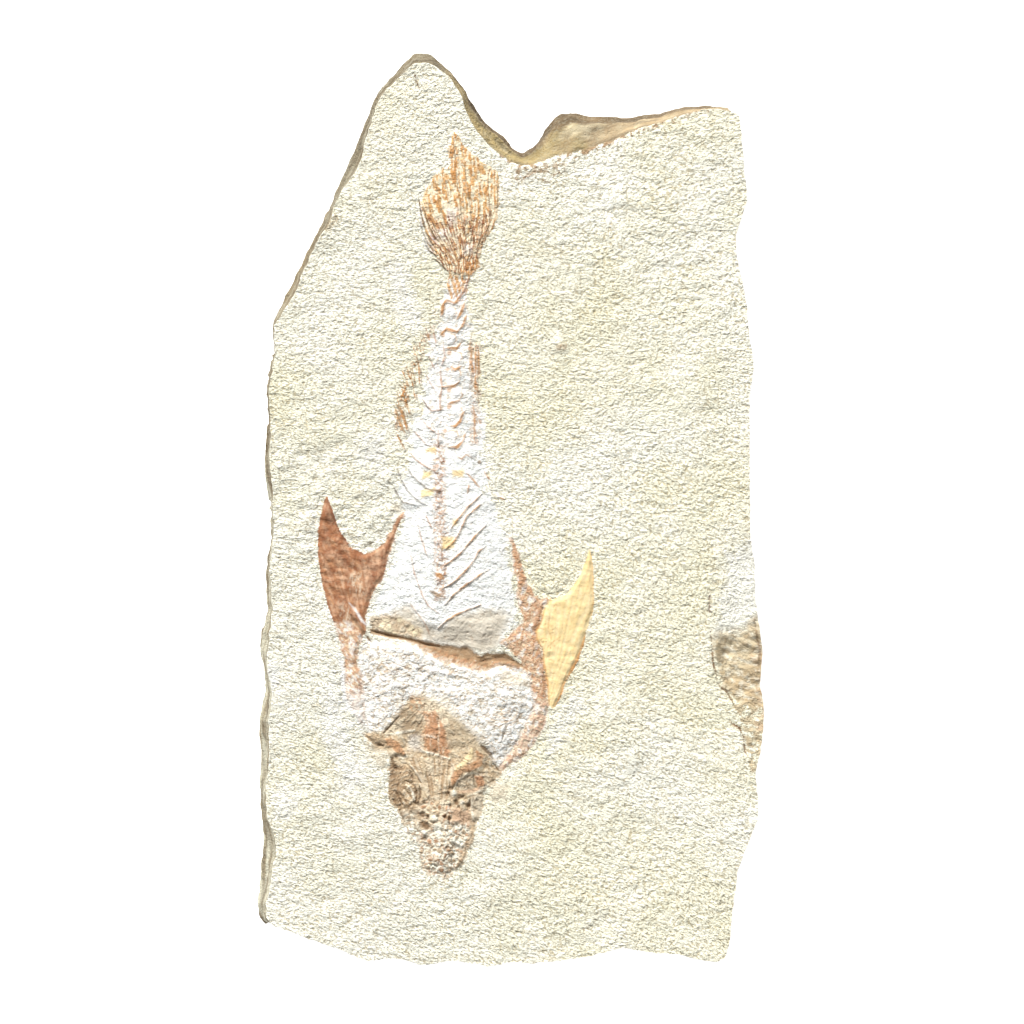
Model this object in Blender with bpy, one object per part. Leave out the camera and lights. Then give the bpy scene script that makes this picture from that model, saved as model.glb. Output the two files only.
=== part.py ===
"""Fossil fish on a slab of limestone, lying on its flat underside with the fish face up.

Metres, +Z up. The origin is on the resting surface, under the middle of the slab's outline.
+Y points from the fish's snout to its tail, and +X to its right-hand fin as seen from above.
The lists below are in millimetres and are multiplied by MM when a mesh is made.
"""

import math

import bmesh
import bpy
import numpy as np
from mathutils import Vector, geometry, noise

OBJECT_NAME = "fossil_fish_slab"
MM = 0.001

# Driving dimensions of the slab.
THICKNESS = 16.0  # bedding plane above the resting surface
FOOT_LEVEL = 5.5  # height of the slab's widest line
FOOT_UNDERCUT = 1.2  # how far the underside draws in from the widest line
EDGE_DRAFT = 0.5  # how far a steep wall leans in at the top
STEEP_CREASE = (0.45, 0.62)  # crease of a wall: its share of the way out, its share of the height
NOTCH_CREASE = (0.74, 0.66)
NOTCH_START = 2  # the notch's own crease starts at this point of its wall
WALL_ROUGHNESS = 0.55
WALL_HOLLOW = 0.2  # the most that a wall's crease stands outside its line
CREASE_WANDER = 2.0  # how far a crease and the widest line wander in height, to the roughness
FOOT_WANDER = 2.5
UNDULATION = 0.5
UNDULATION_LENGTH = 42.0
TOP_SPACING = 7.0

# How the remains lie on the bedding plane.
BED_GAP = 0.3  # clearance between the stone and what lies on it
PIECE_GAP = 0.25  # how far each piece draws in from its drawn outline
BED_MARGIN = 4.0  # flat stone kept round the remains
BED_FADE = 16.0

# How finely the relief is meshed.
CREST_STEP = 2.6
CREST_GAP = 0.8  # least distance between the crests of two ridges
DETAIL_GAP = 0.6
BORDER_GAP = 0.5
FILLING_GAP = 0.62  # least gaps of the filling's points, to each other and to the border,
FILLING_BORDER = 0.5  # as shares of their spacing
FILLING_STIR = 0.3
STIR_LENGTH = 1.7
LUMP_RINGS = ((0.5, 5), (1.0, 7))  # share of a lump's radius, and how many points lie there
INSIDE_FACES = 1  # the triangulation keeps what lies within the outline
SAME_POINT = 1e-5
RAY_START = 0.14  # a fan's rays start this far out from their root
RAY_POINTS = 9

# The slab's edge, anticlockwise from above: widest line (x, y), then top edge (x, y).
LEFT_WALL = [
    (-29, 152.5, -29.5, 149.3),
    (-35, 150, -34.3, 148.2),
    (-38, 145.5, -37.2, 144.8),
    (-43, 141, -42.2, 140.2),
    (-45.5, 137.5, -44.3, 136.7),
    (-49, 128, -47.8, 127.6),
    (-51, 122.5, -49.3, 122),
    (-53.5, 117, -50, 117.5),
    (-56, 111.5, -52.8, 112),
    (-58.3, 106, -57, 106.5),
    (-60.5, 101, -59.3, 101.3),
    (-63, 96, -60.5, 96.5),
    (-66, 90, -64.7, 90),
    (-70.7, 80, -69.7, 79.5),
    (-73.2, 75, -71.5, 74.3),
    (-78.5, 65.2, -77.3, 64.8),
    (-79.8, 61.5, -79.2, 61.3),
    (-79.1, 53, -78.6, 53),
    (-81.1, 46, -80.1, 45.6),
    (-81.7, 41, -81, 41),
    (-81, 30, -80.3, 30),
    (-82.2, 19, -80.9, 19.3),
    (-82.2, 14, -80.7, 14),
    (-80.6, 4.5, -79.7, 4.5),
    (-79.9, -9, -79.2, -9),
    (-81.8, -20.5, -80.8, -20.5),
    (-81.2, -33, -80.1, -33),
    (-83.2, -43, -81, -43),
    (-84, -48, -81.9, -48),
    (-82.2, -55, -81.2, -55),
    (-82.4, -61, -80, -61),
    (-84.2, -71.5, -81.3, -71.5),
    (-83.2, -80.5, -80.9, -80.5),
    (-83.9, -92, -82, -92),
    (-83, -103, -81.8, -103),
    (-82.6, -108, -79.3, -108),
    (-82.9, -115, -78.7, -115),
    (-83.4, -121, -79.9, -121),
    (-84.5, -132, -82.1, -132),
    (-83.4, -136.8, -82, -136.2),
]
STEEP_WALL = [
    (-79, -138.7), (-68, -142.8), (-56, -147.2), (-48, -150.7), (-43, -150), (-37, -149.8),
    (-29, -152.1), (-20, -150.3), (-12, -151.2), (-8, -152.5), (1, -150.7), (6, -151.3),
    (18, -150.3), (28, -148.4), (37, -146.3), (47, -147.7), (57, -148.4), (61, -149.9),
    (69, -150.8), (72, -149), (73, -144), (74.3, -131), (75.8, -120), (79.5, -110.5),
    (82.6, -102.5), (82.6, -98), (81.6, -88.5), (83.4, -80.5), (84.5, -70.5), (84.4, -65.5),
    (83.1, -57), (84, -49.5), (84, -45.5), (82.3, -35), (81.6, -30), (81.3, -18),
    (79.9, -8), (79.8, 12), (79.7, 38), (81.3, 47.5), (79.8, 56.5), (78.9, 67.5),
    (77.2, 76.5), (75.2, 85), (75.2, 92), (79, 103.5), (77.9, 112.5), (76.8, 129.5),
    (75.6, 132.3),
]
NOTCH_WALL = [
    (73, 133.8, 72.5, 133.2),
    (66, 135.1, 65.5, 134.3),
    (58, 134.2, 58, 132.4),
    (50, 132, 50, 129.6),
    (41, 130.8, 41, 127),
    (36, 131, 37, 124.8),
    (31, 131.1, 32, 122.6),
    (26, 131.3, 27, 120.6),
    (22.5, 132.3, 22.6, 119.3),
    (20, 132.9, 19.8, 118.6),
    (17.2, 132.5, 17, 118),
    (14.8, 131.3, 14.5, 117.6),
    (11.5, 127, 10.5, 116.2),
    (8, 121.7, 7, 115.3),
    (4, 118.5, 3.5, 115.1),
    (0, 121.2, -0.5, 116.5),
    (-4, 125.8, -5.8, 120.3),
    (-10, 131, -11, 126.3),
    (-14, 137, -15, 133.3),
    (-16, 141, -16.3, 138.3),
    (-20, 145.6, -19.5, 144),
    (-25, 149.9, -24, 147.5),
]

# The chip broken out of the right-hand edge: its scarp, closed beyond the edge.
SCARP = [
    (66, -28), (66.5, -38), (67, -47), (67.8, -53), (69.2, -57.5), (72, -60.5), (74.6, -65.5),
    (76.4, -72), (78, -80), (79.4, -88),
]
CHIP_CLOSING = [(92, -88), (92, -28)]
CHIP_DEPTHS = [(-88, 0.0), (-76, 0.7), (-66, 1.5), (-58, 2.4), (-48, 2.3), (-30, 0.0)]  # y, depth
CHIP_LUMPS = (0.2, 5.0)  # how far the floor is uneven, to its depth, and the length of its lumps
SCARP_WIDTH = 5.0
# The low pale shelf beside the chip: start in x, top and bottom in y, depth.
SHELF = (64.0, -6.0, -64.0, 1.5)
SHELF_SLOPES = (16.0, 14.0)  # where it reaches its depth, from its start and its top

# Lumps and hollows of the stone's face: x, y, radius, height.
STONE_LUMPS = [
    (16, 55, 4.0, 0.8),
    (36, 103, 5.0, 0.5),
    (7, 107, 6.0, -0.7),
    (-61, 84, 7.0, -0.6),
    (-48, 104, 8.0, 0.5),
    (30, -139, 7.0, -0.6),
    (60, 40, 12.0, 0.5),
    (-68, -100, 10.0, 0.5),
    (44, -92, 12.0, -0.5),
]

# What the remains cover: y, least x, greatest x.
REMAINS_SPAN = [
    (128, -22, -15), (110, -30, -4), (95, -32, -3), (80, -28, -10), (55, -31, -9),
    (30, -40, -9), (6, -64, -1), (-8, -66, 27), (-50, -66, 28), (-66, -58, 17),
    (-88, -50, 1), (-105, -40, -8), (-125, -30, -14),
]

TAIL_OUTLINE = [
    (-19, 126), (-20.7, 120.5), (-19.8, 114.8), (-22.5, 113.2), (-27, 107.8), (-29, 104),
    (-31.2, 105.7), (-31, 99), (-29.6, 92.5), (-28.6, 86.6), (-27.3, 84), (-23, 80.3),
    (-20.5, 79.2), (-14, 79.2), (-11.5, 81), (-10.2, 86.5), (-8.5, 90), (-5.6, 94),
    (-4.2, 101), (-4.1, 109), (-5, 112.8), (-10, 116.3), (-14.6, 120), (-17.2, 124),
]
TAIL_ROOT = (-17.3, 80.5)
TAIL_RAY_ENDS = [
    (-30.6, 103), (-29.4, 101), (-28, 104), (-25.5, 108.5), (-22.5, 111.5), (-19.5, 121.5),
    (-17.6, 121), (-15.4, 118.4), (-12.7, 116.6), (-10, 114.3), (-7.4, 112.4), (-5.3, 107.5),
    (-5.4, 98),
]
TAIL_RAY_BOW = 0.16  # how far a ray bows outward, as a share of its sideways reach
TAIL_BODY = 0.9
TAIL_BEVEL = 3.0  # how far in from the edge the fin reaches its full height
TAIL_RAY_HALF_WIDTH = 0.8
TAIL_RAY_HEIGHT = 0.45
TAIL_SPACING = 3.2

TRUNK_OUTLINE = [
    (-20.8, 78.4), (-22.6, 73), (-23.9, 68), (-25, 63), (-27.3, 59.5), (-28.2, 55), (-31.5, 52),
    (-35.4, 47.5), (-37.4, 42), (-37.9, 35), (-39.2, 31), (-38.8, 25), (-36, 19.5), (-38.6, 14.5),
    (-41.6, 10.5), (-38.6, 3.8), (-35.6, -0.2), (-37, -4.6), (-38.9, -9.5), (-40.8, -16),
    (-42.2, -22), (-44.4, -25.4), (-46, -29.5), (-47.2, -34), (-46.8, -39.6), (-42, -41),
    (-35, -42.3), (-29, -44), (-23, -45), (-17, -46), (-14.5, -45.4), (-12.5, -47.5),
    (-10, -48.8), (-7.8, -47.8), (-4.6, -46), (-3.8, -43), (0.4, -40.2), (2.4, -38), (1.8, -32),
    (1.2, -25), (0.4, -20), (-0.6, -13), (-2.4, -7), (-4.6, -1.5), (-1.6, 4.2), (-5.6, 7.4),
    (-6.6, 12.8), (-9, 18), (-10.2, 25), (-10.6, 36), (-9.6, 48), (-11, 56), (-13.2, 62),
    (-14.6, 67), (-14.4, 72), (-13.4, 78.4),
]
COLUMN = [
    (-17.4, 76), (-19.4, 66), (-20, 50), (-20.4, 33), (-21, 10), (-22.6, -15), (-24.4, -38),
]
VERTEBRA_PITCH = 6.4
VERTEBRA_RADIUS = 2.5
VERTEBRA_HEIGHT = 0.75
SPINES = [
    [(-25.8, 60), (-25, 55)],
    [(-27.5, 51.5), (-25.5, 47)],
    [(-28.5, 45.5), (-27, 42.5), (-25.3, 40)],
    [(-29.5, 37), (-28, 34.5), (-23.5, 33.5)],
    [(-29.8, 30.5), (-27.5, 27.5), (-24.8, 25.5)],
    [(-32.5, 26.5), (-28.5, 22), (-25.5, 21)],
    [(-34, 19.5), (-29.5, 15.2), (-25, 13)],
    [(-35, 15), (-33, 11.5), (-30, 8.7), (-25, 6.6)],
    [(-38, 14), (-36.5, 10), (-32, 4), (-27, 1.2)],
    [(-31, -5), (-30, -10), (-27.5, -16)],
    [(-33.5, -15), (-32.2, -21), (-29.5, -28.5), (-26, -33.5)],
    [(-33.5, -31.5), (-29.5, -36.5), (-27.4, -41)],
]
FIN_REMAINS = [
    [(-30.8, 48), (-30.5, 42)],
    [(-33.5, 44.5), (-32, 36.5)],
    [(-35.4, 40.5), (-33.5, 30.5)],
    [(-37, 33.5), (-34.5, 26)],
    [(-11.8, 54), (-11.9, 42)],
]
RIBS = [
    [(-9.8, 5.5), (-14.5, 1), (-20, -6)],
    [(-10, 2.3), (-13.5, -1), (-16, -5), (-21, -12.2)],
    [(-8.5, -5.2), (-14, -11), (-21.5, -18)],
    [(-8.5, -12), (-12.5, -17), (-18, -23), (-22, -25.6)],
    [(-7.5, -19.8), (-13, -23.5), (-19, -28), (-22, -31)],
    [(-10, -31.5), (-18, -34.7), (-23.6, -38.6)],
]
ARCHES = [
    [(-23, 65), (-21.8, 70), (-17, 70), (-15.8, 66)],
    [(-23.5, 58.5), (-21.5, 60.3), (-16.4, 61)],
    [(-23, 41), (-19, 41.3), (-17, 43.4)],
    [(-20.5, 28), (-17, 29.5), (-15.4, 33)],
    [(-21, 21), (-16, 23), (-15, 26)],
]
BONE_HALF_WIDTH = 0.9
BONE_HEIGHT = 0.55
TRUNK_EDGE = 0.5
TRUNK_RISE = 0.3  # how far the narrow part stands above the trunk's edge
TRUNK_BEVEL = 5.0
TRUNK_BELLY = 1.7  # how much further the belly stands
BELLY_CENTRE = (-20.0, -18.0)
BELLY_RADII = (26.0, 62.0)
BELLY_FOOT = 1.15  # share of the radii where the belly starts
TRUNK_SPACING = 4.6

SHOULDER_OUTLINE = [
    (-46.8, -44.9), (-42, -43.2), (-35, -44.2), (-29, -46), (-23, -49.2), (-17, -50.4),
    (-12.6, -51.2), (-10, -52.8), (-7.4, -53.2), (-5.6, -51.8), (0, -52), (4.4, -54),
    (6.2, -57.2), (6.3, -61), (7, -64), (6.4, -66.8), (4.6, -70), (3.4, -73.4), (1.8, -76.6),
    (-0.4, -80), (-2.2, -83), (-4.2, -84.2), (-8, -80.5), (-10.5, -78.5), (-17, -71),
    (-22, -66.5), (-26, -64), (-30, -62), (-34, -62.5), (-37, -68), (-42, -73.5), (-47, -73.8),
    (-48, -67), (-48.4, -60), (-49, -55), (-50.4, -52), (-50.2, -48.6), (-48.8, -45.2),
]
SHOULDER_EDGE = 1.3
SHOULDER_TOP = 2.4
SHOULDER_BEVEL = 4.0
SHOULDER_ROUGHNESS = (0.2, 6.0)  # height and length
SHOULDER_SPACING = 3.8
WRINKLE_HALF_WIDTH = 1.3
WRINKLE_HEIGHT = 0.55
SHOULDER_WRINKLES = [
    [(-44, -55), (-37, -52.5), (-30, -53), (-22, -54.2), (-14, -56)],
    [(-45, -62), (-39, -58.5), (-33, -58.4)],
    [(-27, -59.5), (-20, -61), (-13, -66), (-8, -72.5)],
    [(-8, -58), (-3, -62), (-2, -70), (-3.6, -77)],
    [(2.6, -58), (3.2, -65), (0.6, -72)],
    [(-43, -70), (-40, -66)],
]
SHOULDER_LUMPS = [
    (-43, -51, 3.2, 0.7), (-33, -49, 3.0, 0.6), (-15, -62, 3.4, -0.6), (-7, -56, 3.0, -0.5),
    (-5, -74, 2.8, 0.6), (-22, -57.5, 2.6, 0.5),
]

SKULL_OUTLINE = [
    (-47.6, -75), (-46, -78.5), (-42, -79.4), (-40, -83), (-40, -93), (-39.5, -98),
    (-35.5, -104), (-33, -104.6), (-31, -108), (-30, -116), (-29.3, -119.5), (-27, -121),
    (-24, -121.5), (-22.5, -123.5), (-21, -121.5), (-16, -118), (-13, -110), (-11, -102),
    (-9, -95), (-7.6, -91.4), (-5.2, -88), (-4.8, -85), (-8, -81.5), (-10.5, -79.4),
    (-17, -71.9), (-22, -67.4), (-26, -64.9), (-30, -62.9), (-33.5, -63.4), (-36.6, -68.9),
    (-41.6, -74.6),
]
SKULL_EDGE = 1.4
SKULL_TOP = 3.0
SKULL_BEVEL = 7.0
SKULL_SPACING = 3.6
SKULL_RIDGE_HALF_WIDTH = 1.2
SKULL_RIDGE_HEIGHT = 0.7
SKULL_RIDGES = [
    [(-42.5, -76.5), (-38, -79.5), (-35, -81)],
    [(-20, -92), (-18.5, -88), (-15, -86), (-11.5, -84.5)],
    [(-28.4, -68), (-29, -75), (-29.4, -79.4)],
    [(-22.6, -69.5), (-21.4, -75), (-20.2, -81)],
    [(-34.5, -84.5), (-33, -88.5), (-31, -93), (-30.8, -98)],
    [(-26.5, -82.5), (-25.8, -90), (-24.6, -98)],
    [(-22, -83), (-22.5, -90), (-23, -97)],
    [(-13.4, -106), (-13.9, -110), (-16.5, -115.6)],
]
SKULL_LUMPS = [
    (-14.8, -91.6, 2.9, -1.0), (-36.3, -91.5, 2.8, -0.9), (-29, -105, 2.1, -1.0),
    (-22, -103.5, 1.9, -0.9), (-10.6, -99.2, 2.3, 0.6), (-25.4, -102.3, 1.9, 0.8),
    (-17.4, -110.6, 1.9, 0.7), (-22, -109, 1.6, 0.6), (-26.2, -113.4, 1.8, 0.7),
    (-20.6, -117.4, 1.6, 0.6), (-25.2, -118.6, 1.6, 0.5), (-16.8, -97, 1.7, -0.8),
    (-10.5, -90.4, 1.8, 0.6), (-30, -111, 1.0, 0.4),
]

LEFT_FIN_OUTLINE = [
    (-61.3, 4.4), (-62.3, 2.5), (-63.8, -5), (-64.3, -13), (-63.3, -21), (-61, -31),
    (-58, -39.5), (-56, -47), (-55, -54), (-54.3, -62), (-52.4, -68), (-49.8, -72),
    (-49.2, -66), (-49.8, -60), (-50.2, -55), (-51.6, -52.2), (-51.4, -48.2), (-49.6, -44.4),
    (-48.2, -41.4), (-48.6, -34), (-47.2, -29.6), (-45.2, -26), (-43.2, -23), (-42, -18),
    (-40.4, -12), (-38.6, -7), (-36.8, -3.4), (-38, -1.6), (-40, -6), (-42, -10.4),
    (-44.5, -12.8), (-49, -14.7), (-53, -13.2), (-56, -9.5), (-58.5, -4), (-60.3, 1.5),
]
LEFT_FIN_ROOT = (-50.5, -46.0)
LEFT_FIN_RAY_ENDS = [(-62.4, -4), (-61.6, -12), (-57.6, -11.4), (-53.4, -16), (-45.4, -16.4)]

RIGHT_FIN_OUTLINE = [
    (0.4, -10.4), (1.2, -16), (1.8, -20), (2.6, -25), (3.2, -32), (4.6, -35), (4.4, -38.6),
    (2, -41), (-1.8, -44.4), (1.6, -47.8), (3.6, -50), (5.6, -53), (7.4, -56.4), (7.6, -60.4),
    (8.4, -64), (7.8, -67.4), (6, -70.6), (4.8, -74), (3.2, -77.2), (1, -80.6), (-1, -83.6),
    (-3.2, -86.6), (0, -85), (2.5, -83.5), (5, -81), (7.5, -78), (9.5, -74), (11.5, -70),
    (14, -66.3), (16.5, -62), (19.5, -54.5), (22, -50), (25, -41), (27.2, -34), (27.5, -30),
    (27.3, -20), (27, -16), (26, -13), (25, -17), (23.5, -20.5), (20, -26.5), (18, -28.5),
    (13, -30.3), (9, -29.3), (5.5, -24), (4, -20), (2.5, -14.5),
]
RIGHT_FIN_ROOT = (12.5, -61.0)
RIGHT_FIN_RAY_ENDS = [(25.9, -17.5), (25.4, -25), (22.6, -27), (17.6, -31), (13, -33)]
FIN_EDGE = 0.4
FIN_HEIGHT = 0.9
FIN_BEVEL = 2.5
FIN_RAY_HEIGHT = 0.4
FIN_RAY_HALF_WIDTH = 1.0
FIN_SPACING = 3.8

LIMESTONE = ("cream_limestone", (0.82, 0.77, 0.60), 0.9)
WHITE_REMAINS = ("whitened_remains", (0.80, 0.78, 0.72), 0.8)
SHIELD_BONE = ("shield_bone", (0.78, 0.74, 0.66), 0.75)
SKULL_BONE = ("skull_bone", (0.42, 0.30, 0.19), 0.7)
BROWN_FIN = ("brown_fin", (0.40, 0.20, 0.13), 0.75)
YELLOW_FIN = ("yellow_fin", (0.78, 0.52, 0.20), 0.75)
ORANGE_RAYS = ("orange_rays", (0.62, 0.32, 0.12), 0.7)


# --- Plane geometry, on arrays of (x, y) in millimetres ---


def smooth_step(share):
    share = np.clip(share, 0.0, 1.0)
    return share * share * (3.0 - 2.0 * share)


def distance_to_line(points, line):
    """Distance from each point to an open line."""
    nearest = np.full(len(points), np.inf)
    for start, end in zip(line[:-1], line[1:]):
        run = np.subtract(end, start)
        along = np.clip((points - start) @ run / (run @ run), 0.0, 1.0)
        nearest = np.minimum(nearest, np.linalg.norm(points - start - along[:, None] * run, axis=1))
    return nearest


def closed(outline):
    return list(outline) + [outline[0]]


def is_inside(points, outline):
    """Whether each point lies within a closed outline, by the even-odd rule."""
    found = np.zeros(len(points), bool)
    x, y = points[:, 0], points[:, 1]
    for (x0, y0), (x1, y1) in zip(outline, closed(outline)[1:]):
        if y0 != y1:
            spans = (y0 > y) != (y1 > y)
            found ^= spans & (x < x0 + (x1 - x0) * (y - y0) / (y1 - y0))
    return found


def inward(outline):
    """Unit vectors that point into an anticlockwise outline at each of its points."""
    points = np.array(outline, float)
    forward = np.roll(points, -1, 0) - points
    forward /= np.linalg.norm(forward, axis=1)[:, None]
    tangent = forward + np.roll(forward, 1, 0)
    tangent /= np.linalg.norm(tangent, axis=1)[:, None]
    return np.column_stack([-tangent[:, 1], tangent[:, 0]])


def anticlockwise(outline):
    points = np.array(outline, float)
    after = np.roll(points, -1, 0)
    area = (points[:, 0] * after[:, 1] - after[:, 0] * points[:, 1]).sum()
    return points if area > 0 else points[::-1]


def ripple(points, length, seed):
    """Smooth noise from about -1 to 1, with features of the given length."""
    return np.array([noise.noise(Vector((x / length, y / length, seed))) for x, y in points])


# --- Relief: heights above the bedding plane ---


def lump_relief(points, lumps):
    total = np.zeros(len(points))
    for x, y, radius, height in lumps:
        share = np.linalg.norm(points - (x, y), axis=1) / radius
        total += height * smooth_step(1.0 - share)
    return total


def ridge_relief(points, ridges, half_width, height):
    """The highest of the ridges at each point. Each has a sharp crest and straight flanks."""
    total = np.zeros(len(points))
    for line in ridges:
        share = 1.0 - distance_to_line(points, line) / half_width
        total = np.maximum(total, height * np.clip(share, 0.0, 1.0))
    return total


def off_the_remains(points):
    """0 on the flat stone round the remains, rising to 1 beyond it."""
    levels, least, greatest = np.array(REMAINS_SPAN[::-1], float).T
    x, y = points[:, 0], points[:, 1]
    beside = np.maximum(np.interp(y, levels, least) - x, x - np.interp(y, levels, greatest))
    beyond = np.maximum(y - levels[-1], levels[0] - y)
    return smooth_step((np.maximum(beside, beyond) - BED_MARGIN) / BED_FADE)


def stone_level(points):
    """Height of the stone's face above the resting surface."""
    swell = UNDULATION * ripple(points, UNDULATION_LENGTH, seed=3.1)
    swell += lump_relief(points, STONE_LUMPS)
    start, top, bottom, depth = SHELF
    x, y = points[:, 0], points[:, 1]
    shelf = smooth_step((x - start) / SHELF_SLOPES[0]) * smooth_step((top - y) / SHELF_SLOPES[1])
    shelf *= depth * (y > bottom)
    unevenness, length = CHIP_LUMPS
    chip = np.interp(y, *np.transpose(CHIP_DEPTHS))
    chip *= 1.0 + unevenness * ripple(points, length, seed=8.4)
    chip *= smooth_step(distance_to_line(points, SCARP) / SCARP_WIDTH)
    chip *= is_inside(points, SCARP + CHIP_CLOSING)
    return THICKNESS + off_the_remains(points) * swell - np.maximum(shelf, chip)


def column_points():
    """Where each vertebra lies, evenly along the column."""
    line = np.array(COLUMN)
    reached = np.concatenate([[0.0], np.cumsum(np.linalg.norm(np.diff(line, axis=0), axis=1))])
    steps = np.arange(0.0, reached[-1], VERTEBRA_PITCH)
    return np.column_stack([np.interp(steps, reached, line[:, axis]) for axis in (0, 1)])


def fan(root, ends, bow=0.0):
    """Rays from near a root to each end, bowed outward by a share of their sideways reach."""
    share = np.linspace(RAY_START, 1.0, RAY_POINTS)
    rays = []
    for end in ends:
        reach = np.subtract(end, root)
        ray = np.array(root) + share[:, None] * reach
        ray[:, 0] += 4.0 * bow * share * (1.0 - share) * reach[0]
        rays.append(ray)
    return rays


# --- Meshes ---


def spread(candidates, taken, gap):
    """The candidates that keep the gap to those taken and to each other, after those taken."""
    kept = list(taken)
    for point in candidates:
        if not kept or np.linalg.norm(np.subtract(kept, point), axis=1).min() >= gap:
            kept.append(tuple(point))
    return kept


def filling(outline, spacing):
    """An even, slightly stirred pattern of points over the outline's box."""
    low, high = np.min(outline, axis=0), np.max(outline, axis=0)
    row_height = spacing * math.sqrt(3.0) / 2.0
    points = []
    for row in range(int((high[1] - low[1]) / row_height) + 1):
        y = low[1] + (row + 0.5) * row_height
        shift = spacing / 2.0 * (row % 2)
        points += [(x + shift, y) for x in np.arange(low[0], high[0], spacing)]
    points = np.array(points)
    stir = [ripple(points, spacing * STIR_LENGTH, seed) for seed in (1.3, 7.9)]
    return points + np.column_stack(stir) * spacing * FILLING_STIR


def resampled(line, step):
    """The line with a point about every step, its ends kept."""
    line = np.array(line, float)
    reached = np.concatenate([[0.0], np.cumsum(np.linalg.norm(np.diff(line, axis=0), axis=1))])
    steps = np.linspace(0.0, reached[-1], max(2, round(reached[-1] / step) + 1))
    return np.column_stack([np.interp(steps, reached, line[:, axis]) for axis in (0, 1)])


def crests(ridges, outline):
    """The points of the ridges' crests within the outline, and the pairs of them to join."""
    points, pairs = [], []
    for ridge in ridges:
        line = resampled(ridge, CREST_STEP)
        fits = is_inside(line, outline) & (distance_to_line(line, closed(outline)) > BORDER_GAP)
        others = list(points)
        previous = None
        for point, inside in zip(line, fits):
            apart = not others or np.linalg.norm(np.subtract(others, point), axis=1).min() > CREST_GAP
            if not (inside and apart):
                previous = None
                continue
            if previous is not None:
                pairs.append((previous, len(points)))
            previous = len(points)
            points.append(tuple(point))
    return points, pairs


def flank_points(ridge, half_width):
    """Points on both sides of a ridge, where its flanks end."""
    line = resampled(ridge, CREST_STEP)
    tangent = np.gradient(line, axis=0)
    tangent /= np.linalg.norm(tangent, axis=1)[:, None]
    across = np.column_stack([-tangent[:, 1], tangent[:, 0]]) * half_width
    return [*(line + across), *(line - across)]


def ring_points(lumps):
    """Points on the top, the slope and the rim of each lump."""
    points = []
    for x, y, radius, _ in lumps:
        points.append((x, y))
        for share, count in LUMP_RINGS:
            turns = np.arange(count) * 2.0 * math.pi / count + share
            reach = radius * share
            points += [(x + reach * math.cos(a), y + reach * math.sin(a)) for a in turns]
    return points


def relief_sheet(outline, level, spacing, ridges=(), half_width=1.0, lumps=()):
    """An open mesh over the outline, its points lifted to level(points)."""
    crest_points, crest_pairs = crests(ridges, outline)
    flanks = [point for ridge in ridges for point in flank_points(ridge, half_width)]
    details = spread(ring_points(lumps) + flanks, crest_points, DETAIL_GAP)
    fine = len(details)
    details = np.array(spread(filling(outline, spacing), details, spacing * FILLING_GAP))
    details = details[len(crest_points):]
    is_fine = np.arange(len(details)) < fine - len(crest_points)
    apart = np.where(is_fine, BORDER_GAP, spacing * FILLING_BORDER)
    clear = distance_to_line(details, closed(outline)) > apart
    details = details[is_inside(details, outline) & clear]

    points = [Vector(point) for point in (*outline, *crest_points, *details)]
    count = len(outline)
    edges = [(index, (index + 1) % count) for index in range(count)]
    edges += [(count + first, count + second) for first, second in crest_pairs]
    flat, _, faces, *_ = geometry.delaunay_2d_cdt(points, edges, [], INSIDE_FACES, SAME_POINT)
    place = np.array(flat)
    heights = level(place)
    mesh = bmesh.new()
    corners = [mesh.verts.new((x * MM, y * MM, z * MM)) for (x, y), z in zip(place, heights)]
    for face in faces:
        mesh.faces.new([corners[index] for index in face])
    return mesh, corners[:count]


def loft_down(mesh, ring, places):
    """Joins a ring of corners to a new ring at the given places, and returns the new ring."""
    lower = [mesh.verts.new(Vector(place) * MM) for place in places]
    for index, corner in enumerate(ring):
        after = (index + 1) % len(ring)
        mesh.faces.new((ring[after], corner, lower[index], lower[after]))
    return lower


def finished_object(name, mesh, underside, material):
    """Closes the mesh with its flat underside and links it as an object with its own material."""
    mesh.faces.new(underside[::-1])
    bmesh.ops.recalc_face_normals(mesh, faces=mesh.faces)
    bmesh.ops.triangulate(mesh, faces=mesh.faces)
    data = bpy.data.meshes.new(name)
    mesh.to_mesh(data)
    mesh.free()
    data.materials.append(stone_material(*material))
    piece = bpy.data.objects.new(name, data)
    bpy.data.collections[OBJECT_NAME].objects.link(piece)
    return piece


def stone_material(name, colour, roughness):
    material = bpy.data.materials.new(name)
    material.use_nodes = True
    shader = material.node_tree.nodes["Principled BSDF"]
    shader.inputs["Base Color"].default_value = (*colour, 1.0)
    shader.inputs["Roughness"].default_value = roughness
    shader.inputs["Metallic"].default_value = 0.0
    return material


def plate(name, outline, relief, material, spacing, ridges=(), half_width=1.0, lumps=()):
    """A thin piece that lies on the bedding plane: relief(points, edge) is its height there."""
    outline = anticlockwise(outline)
    outline = outline + PIECE_GAP * inward(outline)
    border = closed(outline)
    base = THICKNESS + BED_GAP

    def level(points):
        return base + relief(points, distance_to_line(points, border))

    mesh, ring = relief_sheet(outline, level, spacing, ridges, half_width, lumps)
    underside = loft_down(mesh, ring, [(x, y, base) for x, y in outline])
    return finished_object(name, mesh, underside, material)


# --- The pieces ---


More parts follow.
